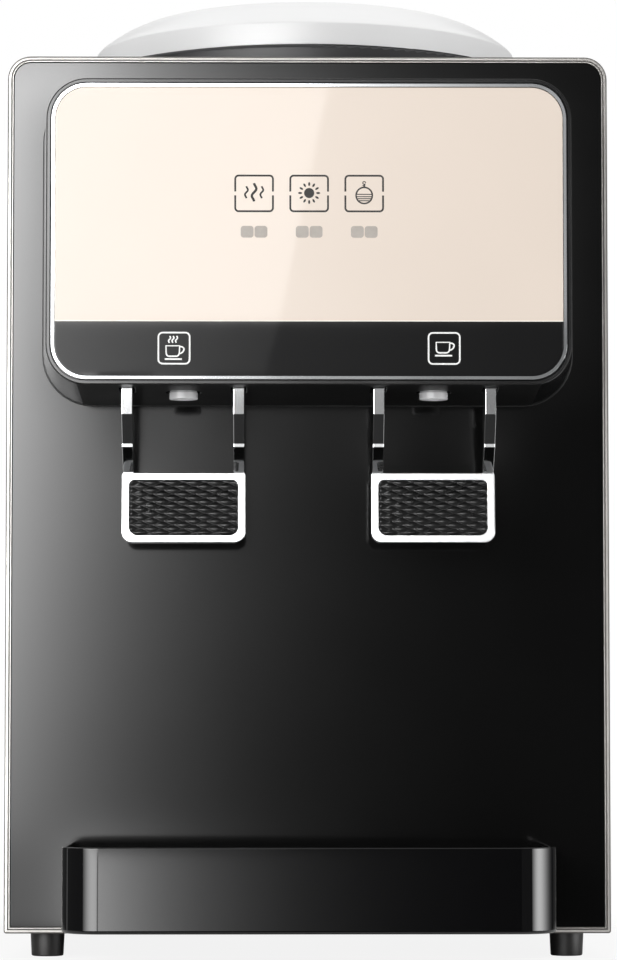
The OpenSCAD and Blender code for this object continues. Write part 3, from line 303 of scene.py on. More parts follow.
# Black ABS painted under the hood and along its edges as painted shade: takes almost no shine, so it reads as
# a dark line
MATTE_SHADE_ABS = Finish("matte_black_abs_painted_shade", "#090909", 0.42, ior=1.38, drift=0.08, grain_mm=0.6, grain_um=6.0)
# ABS from a spark-eroded mould: a fine matt grain all over the casing
GRAINED_ABS = Finish("spark_grained_black_abs", "#1a1a1c", 0.48, ior=1.54, drift=0.06, rough_drift=0.008,
                     grain_mm=0.5, grain_um=22.0)
# Chrome plate on the display's ring: a bright even mirror
CHROME_PLATE = Finish("bright_chrome_plate", "#e6e8ea", 0.05, metallic=1.0, drift=0.015, rough_drift=0.01,
                      grain_mm=9.0, grain_um=2.0)
# Chrome over moulded ABS on the levers: bright, softened by the mould's own surface
PLATED_ABS = Finish("chrome_plated_abs", "#eeeff0", 0.05, metallic=1.0, drift=0.015, rough_drift=0.01,
                    grain_mm=5.0, grain_um=1.0)
# Satin chrome of the paddles: pale and even, with no clear picture in it
SATIN_PLATE = Finish("satin_chrome_plate", "#e2e3e4", 0.3, metallic=1.0, drift=0.015, rough_drift=0.02,
                     grain_mm=3.0, grain_um=3.0)
# Moulded rubber of the lever pads: near black, with a sheen on the crests of its relief
PAD_RUBBER = Finish("moulded_pad_rubber", "#080808", 0.3, ior=1.42, drift=0.08, drift_mm=9.0,
                    rough_drift=0.05, grain_mm=0.25, grain_um=5.0)
# Light acetal of the nozzles' rims: nearly white, with a soft sheen and no mirror
PALE_ACETAL = Finish("pale_moulded_acetal", "#efeff0", 0.42, drift=0.03, drift_mm=5.0, grain_mm=0.4,
                     grain_um=3.0)
# Acetal of the nozzles above their rims: a plain grey, darker than the rims partly as painted shade under the
# hood
SHADED_GREY_ACETAL = Finish("grey_acetal_partly_painted_shade", "#c2c3c4", 0.35, drift=0.05, drift_mm=6.0, grain_mm=0.4,
                     grain_um=3.0)
# White ABS of the bottle seat, from a fine-blasted mould: a clean white with a satin sheen
WHITE_ABS = Finish("satin_white_abs", "#eeeeee", 0.36, ior=1.45, drift=0.012, grain_mm=14.0, grain_um=4.0)
# Natural polypropylene of the probe and reservoir: milky, waxy
MILKY_PP = Finish("natural_polypropylene", "#dfe3e4", 0.36, ior=1.49, drift=0.03, grain_mm=1.2,
                  grain_um=6.0)
# Vulcanised rubber of the feet: black with a brown cast, matt
FOOT_RUBBER = Finish("vulcanised_foot_rubber", "#191716", 0.4, ior=1.52, drift=0.1, drift_mm=7.0,
                     grain_mm=0.5, grain_um=8.0)
# Dark ink of the lamp icons: a dull brown-black print on the cream
DARK_INK = Finish("dark_screen_ink", "#1c1917", 0.6, drift=0.1, drift_mm=3.0, grain_mm=0.3, grain_um=2.0)
# White ink of the cup icons: a flat white print on the black strip
WHITE_INK = Finish("white_screen_ink", "#f4f4f2", 0.4, drift=0.03, drift_mm=3.0, grain_mm=0.3, grain_um=2.0)
# Half-clear grey ink over the lamps: a pale grey patch on the cream
GREY_INK = Finish("grey_lamp_window_ink", "#a9a199", 0.45, drift=0.06, drift_mm=3.0, grain_mm=0.3,
                  grain_um=2.0)
# Moulded red of the rocker: a clear strong red under a gloss
RED_PC = Finish("red_moulded_polycarbonate", "#a3201c", 0.22, ior=1.58, drift=0.05, drift_mm=10.0,
                grain_mm=6.0, grain_um=3.0)
# Moulded nylon of the rear fittings: black, dull and a little grainy
BLACK_NYLON = Finish("black_moulded_nylon", "#161617", 0.42, ior=1.53, drift=0.07, grain_mm=0.6,
                     grain_um=12.0)
# Zinc plate on the screws: a bright blue-grey metal, slightly mottled
ZINC_SCREW = Finish("zinc_plated_steel", "#b9bcc0", 0.3, metallic=1.0, drift=0.06, drift_mm=4.0,
                    grain_mm=0.5, grain_um=3.0)
# Rolled stainless steel: a bright metal with fine lines along its length
BRIGHT_STEEL = Finish("rolled_stainless_steel", "#c6c9cc", 0.28, metallic=1.0, drift=0.04, grain_mm=0.5,
                      grain_um=2.5, drawn=(1.0, 1.0, 0.08))
# Galvanised sheet: a mid grey metal with large pale flakes
GALVANISED = Finish("galvanised_steel_sheet", "#a2a6aa", 0.4, metallic=1.0, drift=0.12, drift_mm=9.0,
                    grain_mm=3.0, grain_um=6.0)
# Turned brass: a warm yellow metal with fine rings
BRASS = Finish("turned_brass", "#c2a35c", 0.25, metallic=1.0, drift=0.06, drift_mm=6.0, grain_mm=0.3,
               grain_um=3.0, drawn=(0.1, 1.0, 1.0))
# Drawn spring wire: a plain grey metal with a shine
SPRING_WIRE = Finish("drawn_spring_wire", "#a9abae", 0.25, metallic=1.0, drift=0.06, drift_mm=3.0,
                     grain_mm=0.2, grain_um=1.5)
# Extruded silicone of the hoses: milky white with a waxy skin
SILICONE = Finish("extruded_silicone", "#e4e2dc", 0.45, ior=1.43, drift=0.04, grain_mm=1.5, grain_um=8.0)
# Moulded silicone of the seals: a dull pale grey
SEAL_SILICONE = Finish("moulded_silicone_seal", "#c9c8c4", 0.5, ior=1.43, drift=0.05, drift_mm=6.0,
                       grain_mm=0.6, grain_um=5.0)
# White polycarbonate of the light box: an even soft white
WHITE_PC = Finish("white_diffuser_polycarbonate", "#f0f0ee", 0.4, ior=1.58, drift=0.02, grain_mm=0.6,
                  grain_um=5.0)
# Clear resin of the lamps: pale straw with a wet shine
LAMP_RESIN = Finish("clear_lamp_resin", "#fbf0d2", 0.15, ior=1.53, drift=0.05, drift_mm=2.0, grain_mm=1.0,
                    grain_um=2.0)
# Glass-filled nylon of the taps: off-white with a fine fibre grain
TAP_NYLON = Finish("white_glass_filled_nylon", "#dcdcd8", 0.4, ior=1.53, drift=0.04, grain_mm=0.7,
                   grain_um=9.0)
# Sheath of the heating element: a dull metal, stained brown by heat
HEATER_STEEL = Finish("oxidised_heater_sheath", "#8d857a", 0.38, metallic=1.0, drift=0.18, drift_mm=12.0,
                      grain_mm=0.5, grain_um=4.0)
# Phenolic of the thermostats: a deep black-brown with a faint shine
PHENOLIC = Finish("black_phenolic", "#242324", 0.35, ior=1.6, drift=0.1, drift_mm=5.0, grain_mm=0.5,
                  grain_um=6.0)
# Sleeve of the wires: black, soft and slightly glossy
WIRE_PVC = Finish("pvc_wire_sleeve", "#2b2b2d", 0.42, ior=1.53, drift=0.08, drift_mm=9.0, grain_mm=1.0,
                  grain_um=5.0)
# Cut foam of the tank's jacket: off-white, matt and full of small pits
FOAM = CellularFoam("cut_polyethylene_foam", "#eceae2", 0.75, ior=1.45, drift=0.05, grain_um=180.0)
# Lacquered circuit board: deep green, lighter along its copper tracks
BOARD = CircuitBoard("lacquered_circuit_board", "#1c5836", 0.35, ior=1.55, grain_mm=0.8, grain_um=3.0)


# Modelling


def moved(points: Points, x: float, z: float) -> list[Point]:
    """Returns points moved by this much."""
    return [(x + dx, z + dz) for dx, dz in points]


def verts_of(geom: Sequence[BMVert | BMEdge | BMFace]) -> list[BMVert]:
    """Returns the vertices among what an operator made."""
    return [item for item in geom if isinstance(item, BMVert)]


def link_mesh(name: str, bm: BMesh, materials: Sequence[bpy.types.Material]) -> bpy.types.Object:
    """Turns a finished bmesh to an object of the scene.

    Args:
        name: the name of the object and its mesh.
        bm: the bmesh, which is freed.
        materials: the mesh's materials, in the order of the faces' numbers.

    Returns:
        The object.
    """
    mesh = bpy.data.meshes.new(name)
    bm.to_mesh(mesh)
    bm.free()
    for material in materials:
        mesh.materials.append(material)
    made = bpy.data.objects.new(name, mesh)
    bpy.context.scene.collection.objects.link(made)
    return made


@dataclass(frozen=True)
class Outline:
    """A rectangle about the middle plane, with one radius at its low corners and one at its high ones."""

    half: float
    low: float
    high: float
    r_low: float
    r_high: float
    least_r: ClassVar[float] = 0.1

    def inset(self, by: float) -> "Outline":
        """Returns the outline that lies this far inside, or outside if negative."""
        r_low, r_high = (max(radius - by, self.least_r) for radius in (self.r_low, self.r_high))
        return Outline(self.half - by, self.low + by, self.high - by, r_low, r_high)


class Shape:
    """A mesh under construction, in millimetres of the shared frame."""

    print_t: ClassVar[float] = 0.08
    copy_merge: ClassVar[float] = 0.002
    new_merge: ClassVar[float] = 0.0005
    flat_angle: ClassVar[float] = 0.5

    def __init__(self) -> None:
        """Starts with an empty mesh."""
        self.bm = bmesh.new()
        self.copied = False

    def outline(self, line: Outline, at: float, centre: float = 0.0, steps: int = 10) -> list[BMEdge]:
        """Draws a rounded outline that faces the front.

        Args:
            line: the outline.
            at: its place along Y.
            centre: its middle along X.
            steps: edges in each corner.

        Returns:
            The outline's edges.
        """
        known = set(self.bm.faces)
        corners = bmesh.ops.create_grid(self.bm, x_segments=1, y_segments=1, size=0.5)["verts"]
        bmesh.ops.scale(self.bm, vec=(2.0 * line.half, line.high - line.low, 1.0), verts=corners)
        for radius, side in ((line.r_low, -1.0), (line.r_high, 1.0)):
            picked = [v for v in corners if v.is_valid and v.co.y * side > 0.0]
            bmesh.ops.bevel(self.bm, geom=picked, offset=radius, offset_type="OFFSET", segments=steps,
                            profile=0.5, affect="VERTICES", clamp_overlap=False, material=-1)
            corners = [v for v in corners if v.is_valid]
        face = next(f for f in self.bm.faces if f not in known)
        edges, verts = list(face.edges), list(face.verts)
        bmesh.ops.delete(self.bm, geom=[face], context="FACES_ONLY")
        bmesh.ops.rotate(self.bm, matrix=UPRIGHT, verts=verts)
        bmesh.ops.translate(self.bm, vec=(centre, at, (line.low + line.high) / 2.0), verts=verts)
        return edges

    def made_since(self, known: set[BMVert]) -> list[BMVert]:
        """Returns the vertices that aren't among the known ones."""
        return [vert for vert in self.bm.verts if vert not in known]

    def loft(self, loops: Sequence[list[BMEdge]], closed: bool = False) -> None:
        """Skins a row of outlines.

        Two outlines in one plane can come out twisted, so each is held apart from the last one while the
        two are joined.

        Args:
            loops: the outlines' edges, in order.
            closed: whether the last one is joined to the first.
        """
        pairs = list(zip(loops, loops[1:]))
        if closed:
            pairs.append((loops[-1], loops[0]))
        for one, other in pairs:
            near, far = (list({vert for edge in loop for vert in edge.verts}) for loop in (one, other))
            gap = self.middle(far) - self.middle(near)
            apart = Vector([math.copysign(LOFT_GAP, along) for along in gap])
            bmesh.ops.translate(self.bm, vec=apart, verts=far)
            bmesh.ops.bridge_loops(self.bm, edges=one + other)
            bmesh.ops.translate(self.bm, vec=-apart, verts=far)

    @staticmethod
    def middle(verts: Sequence[BMVert]) -> Vector:
        """Returns the mean place of vertices."""
        return sum((vert.co for vert in verts), Vector()) / len(verts)

    def block(self, loops: Sequence[list[BMEdge]]) -> None:
        """Skins a row of outlines and closes its two ends.

        Args:
            loops: the outlines' edges, in order.
        """
        self.loft(loops)
        for end in (loops[0], loops[-1]):
            bmesh.ops.edgeloop_fill(self.bm, edges=end)

    def border(self, line: Outline, section: Sequence[Point], steps: int = 10) -> None:
        """Carries a section round an outline.

        Args:
            line: the outline.
            section: how far inside the outline each point of the section lies, and the point's Y.
            steps: edges in each corner.
        """
        self.loft([self.outline(line.inset(by), y, steps=steps) for by, y in section], closed=True)

    def plate(self, line: Outline, front: float, back: float, centre: float = 0.0, steps: int = 8) -> None:
        """Makes a flat plate that faces the front.

        Args:
            line: the plate's outline.
            front: Y of its face.
            back: Y of its rear.
            centre: its middle along X.
            steps: edges in each corner.
        """
        self.block([self.outline(line, y, centre, steps) for y in (front, back)])

    def lathe(self, profile: Sequence[Point], centre: Point = (0.0, 0.0), steps: int = 96,
              closed: bool = False) -> None:
        """Turns a profile about an upright axis.

        Args:
            profile: radius and height of each point.
            centre: X and Y of the axis.
            steps: faces round the axis.
            closed: whether the profile's last point is joined to its first.
        """
        known = set(self.bm.verts)
        points = [self.bm.verts.new((r, 0.0, z)) for r, z in profile]
        pairs = list(zip(points, points[1:])) + ([(points[-1], points[0])] if closed else [])
        lines = [self.bm.edges.new(pair) for pair in pairs]
        bmesh.ops.spin(self.bm, geom=points + lines, cent=(0, 0, 0), axis=(0, 0, 1), angle=math.tau,
                       steps=steps, use_merge=True)
        bmesh.ops.translate(self.bm, vec=(centre[0], centre[1], 0.0), verts=self.made_since(known))

    def tube(self, low: float, high: float, at: Point, radius: float, bore: float) -> None:
        """Turns a tube that lies along X.

        Args:
            low: X of its left end.
            high: X of its right end.
            at: Y and Z of its axis.
            radius: its outer radius.
            bore: the radius of its bore.
        """
        known = set(self.bm.verts)
        self.lathe([(bore, low), (radius, low), (radius, high), (bore, high)], steps=40, closed=True)
        made = self.made_since(known)
        bmesh.ops.rotate(self.bm, matrix=Matrix.Rotation(math.radians(90), 3, "Y"), verts=made)
        bmesh.ops.translate(self.bm, vec=(0.0, at[0], at[1]), verts=made)

    def bar(self, low: Sequence[float], high: Sequence[float]) -> None:
        """Makes a square bar.

        Args:
            low: its lowest corner.
            high: its highest corner.
        """
        verts = bmesh.ops.create_cube(self.bm, size=1.0)["verts"]
        bmesh.ops.scale(self.bm, vec=[b - a for a, b in zip(low, high)], verts=verts)
        bmesh.ops.translate(self.bm, vec=[(a + b) / 2.0 for a, b in zip(low, high)], verts=verts)

    def disc(self, x: float, z: float, rx: float, rz: float, front: float, back: float,
             turn: float = 0.0, steps: int = 28) -> None:
        """Makes a flat oval that faces the front.

        Args:
            x: its middle along X.
            z: its middle along Z.
            rx: its radius along X before it is turned.
            rz: its radius along Z before it is turned.
            front: Y of its face.
            back: Y of its rear.
            turn: degrees that it is turned by, anticlockwise from the front.
            steps: its number of sides.
        """
        verts = bmesh.ops.create_circle(self.bm, cap_ends=True, segments=steps, radius=1.0)["verts"]
        bmesh.ops.scale(self.bm, vec=(rx, rz, 1.0), verts=verts)
        bmesh.ops.rotate(self.bm, matrix=Matrix.Rotation(math.radians(turn), 3, "Z"), verts=verts)
        bmesh.ops.rotate(self.bm, matrix=UPRIGHT, verts=verts)
        bmesh.ops.translate(self.bm, vec=(x, back, z), verts=verts)
        made = bmesh.ops.extrude_face_region(self.bm, geom=[verts[0].link_faces[0]])["geom"]
        bmesh.ops.translate(self.bm, vec=(0.0, front - back, 0.0), verts=verts_of(made))

    def strokes(self, lines: Sequence[Sequence[Point]], width: float, at: float,
                closed: bool = False) -> None:
        """Draws printed lines, as low round-backed ribbons on a surface that faces the front.

        Args:
            lines: points of each line, as X and Z.
            width: the lines' width.
            at: Y of the surface.
            closed: whether each line's ends are joined.
        """
        curve = bpy.data.curves.new("stroke", "CURVE")
        curve.dimensions = "3D"
        curve.bevel_depth = width / 2.0
        curve.bevel_resolution = 1
        curve.use_fill_caps = True
        for line in lines:
            spline = curve.splines.new("POLY")
            spline.points.add(len(line) - 1)
            for point, (x, z) in zip(spline.points, line):
                point.co = (x, 0.0, z, 1.0)
            spline.use_cyclic_u = closed
        holder = bpy.data.objects.new("stroke", curve)
        drawn = bpy.data.meshes.new_from_object(holder)
        known = set(self.bm.verts)
        self.bm.from_mesh(drawn)
        made = self.made_since(known)
        bmesh.ops.scale(self.bm, vec=(1.0, self.print_t / width, 1.0), verts=made)
        bmesh.ops.translate(self.bm, vec=(0.0, at, 0.0), verts=made)
        bpy.data.objects.remove(holder)
        bpy.data.curves.remove(curve)
        bpy.data.meshes.remove(drawn)

    def copy(self, node: str) -> None:
        """Takes a merged copy of one of the model's nodes.

        Args:
            node: the node's name.
        """
        self.bm.from_mesh(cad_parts[node].data)
        bmesh.ops.scale(self.bm, vec=(1.0 / MM,) * 3, verts=self.bm.verts)
        bmesh.ops.remove_doubles(self.bm, verts=self.bm.verts, dist=self.copy_merge)
        bmesh.ops.dissolve_limit(self.bm, angle_limit=math.radians(self.flat_angle), verts=self.bm.verts,
                                 edges=self.bm.edges)
        for face in self.bm.faces:
            face.material_index = 0
        self.copied = True

    def soften(self, width: float, angle: float = 30.0, segments: int = 2,
               where: Callable[[Vector], bool] | None = None) -> None:
        """Rounds the mesh's sharp edges.

        Args:
            width: the rounding's width.
            angle: the least angle, in degrees, of an edge that is rounded.
            segments: faces across the rounding.
            where: which edges are rounded, by their middle; all if left out.
        """
        picked = []
        for edge in self.bm.edges:
            if len(edge.link_faces) == 2 and edge.calc_face_angle(0.0) > math.radians(angle):
                middle = (edge.verts[0].co + edge.verts[1].co) / 2.0
                if where is None or where(middle):
                    picked.append(edge)
        bmesh.ops.bevel(self.bm, geom=picked, offset=width, offset_type="OFFSET", segments=segments,
                        profile=0.5, affect="EDGES", clamp_overlap=False, material=-1)

    def paint(self, index: int, where: Callable[[BMFace], bool]) -> None:
        """Gives the faces that pass a test a finish.

        Args:
            index: the finish's number.
            where: the test.
        """
        for face in self.bm.faces:
            if where(face):
                face.material_index = index

    def piece(self, name: str, body: Body, finishes: Sequence[Finish],
              nodes: Sequence[str] = (), sharp: float = 35.0) -> bpy.types.Object:
        """Makes the mesh a piece of the object.

        Args:
            name: the piece's name.
            body: the body that it rides on.
            finishes: its finishes, in the order of the faces' numbers.
            nodes: the nodes that it stands for.
            sharp: the least angle, in degrees, of an edge that stays sharp.

        Returns:
            The piece.
        """
        if not self.copied:
            bmesh.ops.remove_doubles(self.bm, verts=self.bm.verts, dist=self.new_merge)
            bmesh.ops.recalc_face_normals(self.bm, faces=self.bm.faces)
        bmesh.ops.scale(self.bm, vec=(MM,) * 3, verts=self.bm.verts)
        made = link_mesh(name, self.bm, [finish.material() for finish in finishes])
        mesh = made.data
        mesh.polygons.foreach_set("use_smooth", [True] * len(mesh.polygons))
        mesh.set_sharp_from_angle(angle=math.radians(sharp))
        shading = made.modifiers.new("even_shading", "WEIGHTED_NORMAL")
        shading.keep_sharp = True
        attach(made, body.value)
        if nodes:
            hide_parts(*nodes)
        log.info("%s: %d faces on %s", name, len(mesh.polygons), body.value)
        return made


def dress(node: str, finish: Finish) -> None:
    """Gives one of the model's own nodes a finish.

    Args:
        node: the node's name.
        finish: its finish.
    """
    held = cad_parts[node]
    if not held.material_slots:
        held.data.materials.append(finish.material())
    for place in held.material_slots:
        place.material = finish.material()
    log.info("%s: kept, %s", node, finish.name)


def rounded(node: str, name: str, body: Body, finish: Finish, width: float,
            angle: float = 40.0) -> None:
    """Builds a piece from one of the model's nodes, with its sharp edges rounded.

    Args:
        node: the node's name.
        name: the piece's name.
        body: the body that it rides on.
        finish: its finish.
        width: the rounding's width.
        angle: the least angle, in degrees, of an edge that is rounded.
    """
    shape = Shape()
    shape.copy(node)
    shape.soften(width, angle)
    shape.piece(name, body, [finish], [node], sharp=30.0)


def arc(x: float, z: float, radius: float, start: float, end: float, steps: int = 8) -> list[Point]:
    """Returns points on an arc.

    Args:
        x: its middle along X.
        z: its middle along Z.
        radius: its radius.
        start: its first angle in degrees, from +X towards +Z.
        end: its last angle.
        steps: spans between the points.

    Returns:
        The points, as X and Z.
    """
    turns = [math.radians(start + (end - start) * i / steps) for i in range(steps + 1)]
    return [(x + radius * math.cos(t), z + radius * math.sin(t)) for t in turns]


# Sub-assemblies


@dataclass
class FrontFrame:
    """The black front panel and the slim metal frame round it."""

    edge: Outline = Outline(138.0, 11.0, 413.0, 1.2, 10.5)
    face: float = 2.65
    proud: float = 0.8
    depth: float = 9.0
    wall: float = 1.6
    panel_t: float = 4.0
    ledge_w: float = 4.1
    ledge_t: float = 2.0
    rounding: float = 0.6
    rounding_middle: float = 0.17
    groove: float = 1.45
    groove_w: float = 0.72
    groove_d: float = 0.4
    groove_flank: float = 0.08
    lip_drop: float = 0.05
    lip_edge: float = 0.12
    painted_shade_depth: float = 0.06

    def build(self) -> None:
        """Builds the frame and dresses the panel."""
        self.trim()
        dress("front_panel", PANEL_ACRYLIC)

    def trim(self) -> None:
        """Builds the frame's section, with its rounded edges and the groove along its face, their faces
        painted darker as shade.
        """
        front = PANEL_Y - self.proud
        back = PANEL_Y + self.depth
        rest = PANEL_Y + self.panel_t
        held = rest + self.ledge_t
        lip = front + self.lip_drop
        ground = front + self.groove_d
        groove_end = self.groove + self.groove_w
        ledge_end = self.face + self.ledge_w
        section = [
            (0.0, back), (0.0, front + self.rounding), (self.rounding_middle, front + self.rounding_middle),
            (self.rounding, front), (self.groove, front), (self.groove + self.groove_flank, ground),
            (groove_end, ground), (groove_end + self.groove_flank, lip), (self.face - self.lip_edge, lip),
            (self.face, lip + self.lip_edge), (self.face, rest), (ledge_end, rest), (ledge_end, held),
            (self.wall, held), (self.wall, back)]
        shape = Shape()
        shape.border(self.edge, section)
        # Faces set back more than this depth from the face, round the edges and in the groove, get the darker
        # metal: painted shade
        shape.paint(1, lambda face: face.calc_center_median().y > front + self.painted_shade_depth)
        shape.piece("front_frame_section", Body.CASING, [ANODISED_ALUMINIUM, SHADED_EDGE_ALUMINIUM],
                    ["front_trim"], sharp=25.0)


@dataclass
class Head:
    """The flared hood with its bright ring and two-tone window.

    Each point of a section is given by how far it lies inside the outline, and how far before the panel or
    behind the face.
    """

    root: Outline = Outline(121.3, 251.5, 396.0, 23.0, 23.0)
    front: Outline = Outline(116.5, 255.5, 392.0, 18.0, 18.0)
    corner_steps: int = 14
    bead: Points = ((0.25, 0.02), (-0.35, 0.02), (-0.42, 0.3), (-0.2, 0.5), (0.25, 0.5))
    drawn_in: float = 1.0
    drawn_over: float = 20.0
    hood_edge: float = 0.35
    hood_angle: float = 32.0
    root_l: float = 1.0
    under_h: float = 8.0
    under_slope: float = -0.97
    rim_y: float = PANEL_Y - 63.5
    rim_section: Points = (
        (0.02, 2.0), (0.0, 0.5), (0.16, 0.16), (0.55, 0.0), (1.95, 0.0), (2.08, 0.13), (2.08, 2.0))
    # Depths behind the rim's face between which its faces are painted matt black as shade
    rim_painted_shade: tuple[float, float] = (0.02, 1.9)
    ring_in: float = 2.2
    ring_w: float = 1.6
    ring_proud: float = 0.4
    ring_gap: float = 0.2
    ring_edge: float = 0.05
    ring_inner_gap: float = 0.05
    ring_inner_edge: float = 0.02
    window_back_y: float = PANEL_Y - 60.0
    window_gap: float = 0.15
    window_edge: Points = ((0.0, 0.3), (0.1, 0.08), (0.3, 0.0))
    split_z: float = 284.0
    split_w: float = 0.45
    split_slack: float = 1e-4

    def build(self) -> None:
        """Builds the head's pieces from the panel outwards."""
        self.seam()
        self.hood()
        self.rim()
        self.ring()
        self.window()

    def seam(self) -> None:
        """Builds the fine bead where the hood meets the panel, all in the matte black of painted shade."""
        shape = Shape()
        shape.border(self.root, [(by, PANEL_Y - ahead) for by, ahead in self.bead])
        shape.piece("head_root_bead", Body.CASING, [MATTE_SHADE_ABS], sharp=60.0)

    def hood(self) -> None:
        """Builds the hood from the model's own, drawn in a little to its front, with rounded edges and
        painted shade on its underside.
        """
        shape = Shape()
        shape.copy("head_shell")
        inner, depth = self.front.half - self.drawn_over, PANEL_Y - self.rim_y
        for vert in shape.bm.verts:
            outward = min(max((abs(vert.co.x) - inner) / self.drawn_over, 0.0), 1.0)
            share = outward * (PANEL_Y - vert.co.y) / depth
            vert.co.x -= math.copysign(self.drawn_in * share, vert.co.x)
        shape.soften(self.hood_edge, self.hood_angle, where=lambda at: at.y < PANEL_Y - self.root_l)
        shape.bm.normal_update()
        top = self.front.low + self.under_h
        # Faces of the underside that look down get the matte black: painted shade under the hood
        shape.paint(1, lambda face: face.normal.z < self.under_slope and face.calc_center_median().z < top)
        shape.piece("head_hood", Body.CASING, [GLOSS_ABS, MATTE_SHADE_ABS], ["head_shell"])

    def rim(self) -> None:
        """Builds the hood's flat front rim, with a fine round outer edge; its edges and sides are painted
        matt black as shade, which reads as a dark line.
        """
        shape = Shape()
        shape.border(self.front, moved(self.rim_section, 0.0, self.rim_y), self.corner_steps)
        low, high = (self.rim_y + back for back in self.rim_painted_shade)
        # The rounded edges and sides behind the flat face get the matte black: painted shade
        shape.paint(1, lambda face: low < face.calc_center_median().y < high)
        shape.piece("head_front_rim", Body.CASING, [GLOSS_ABS, MATTE_SHADE_ABS], sharp=20.0)

    def ring(self) -> None:
        """Builds the bright ring round the window: a flat face with fine edges, a dark gap on either side."""
        outer = self.ring_in + self.ring_gap
        inner = self.ring_in + self.ring_w - self.ring_inner_gap
        front, back = WINDOW_Y - self.ring_proud, self.window_back_y
        section = [
            (outer, back), (outer, front + self.ring_edge), (outer + self.ring_edge, front),
            (inner - self.ring_inner_edge, front), (inner, front + self.ring_inner_edge), (inner, back)]
        shape = Shape()
        shape.border(self.front, section, self.corner_steps)
        shape.piece("head_bright_ring", Body.CASING, [CHROME_PLATE], ["head_trim_ring"],
                    sharp=15.0)

    def window(self) -> None:
        """Builds the window and splits its face into the cream, the printed line and the black."""
        edge = self.ring_in + self.ring_w + self.window_gap
        section = [(edge, self.window_back_y)] + moved(self.window_edge, edge, WINDOW_Y)
        shape = Shape()
        bm = shape.bm
        shape.block([shape.outline(self.front.inset(by), y, steps=self.corner_steps) for by, y in section])
        for z in (self.split_z - self.split_w, self.split_z):
            everything = list(bm.verts) + list(bm.edges) + list(bm.faces)
            bmesh.ops.bisect_plane(bm, geom=everything, plane_co=(0, 0, z), plane_no=(0, 0, 1),
                                   dist=self.split_slack)
        shape.paint(1, lambda face: face.calc_center_median().z < self.split_z)
        shape.paint(2, lambda face: face.calc_center_median().z < self.split_z - self.split_w)
        shape.piece("display_window_sheet", Body.CASING,
                    [CREAM_ACRYLIC, EDGE_PRINT, BLACK_ACRYLIC], ["display_window"], sharp=40.0)


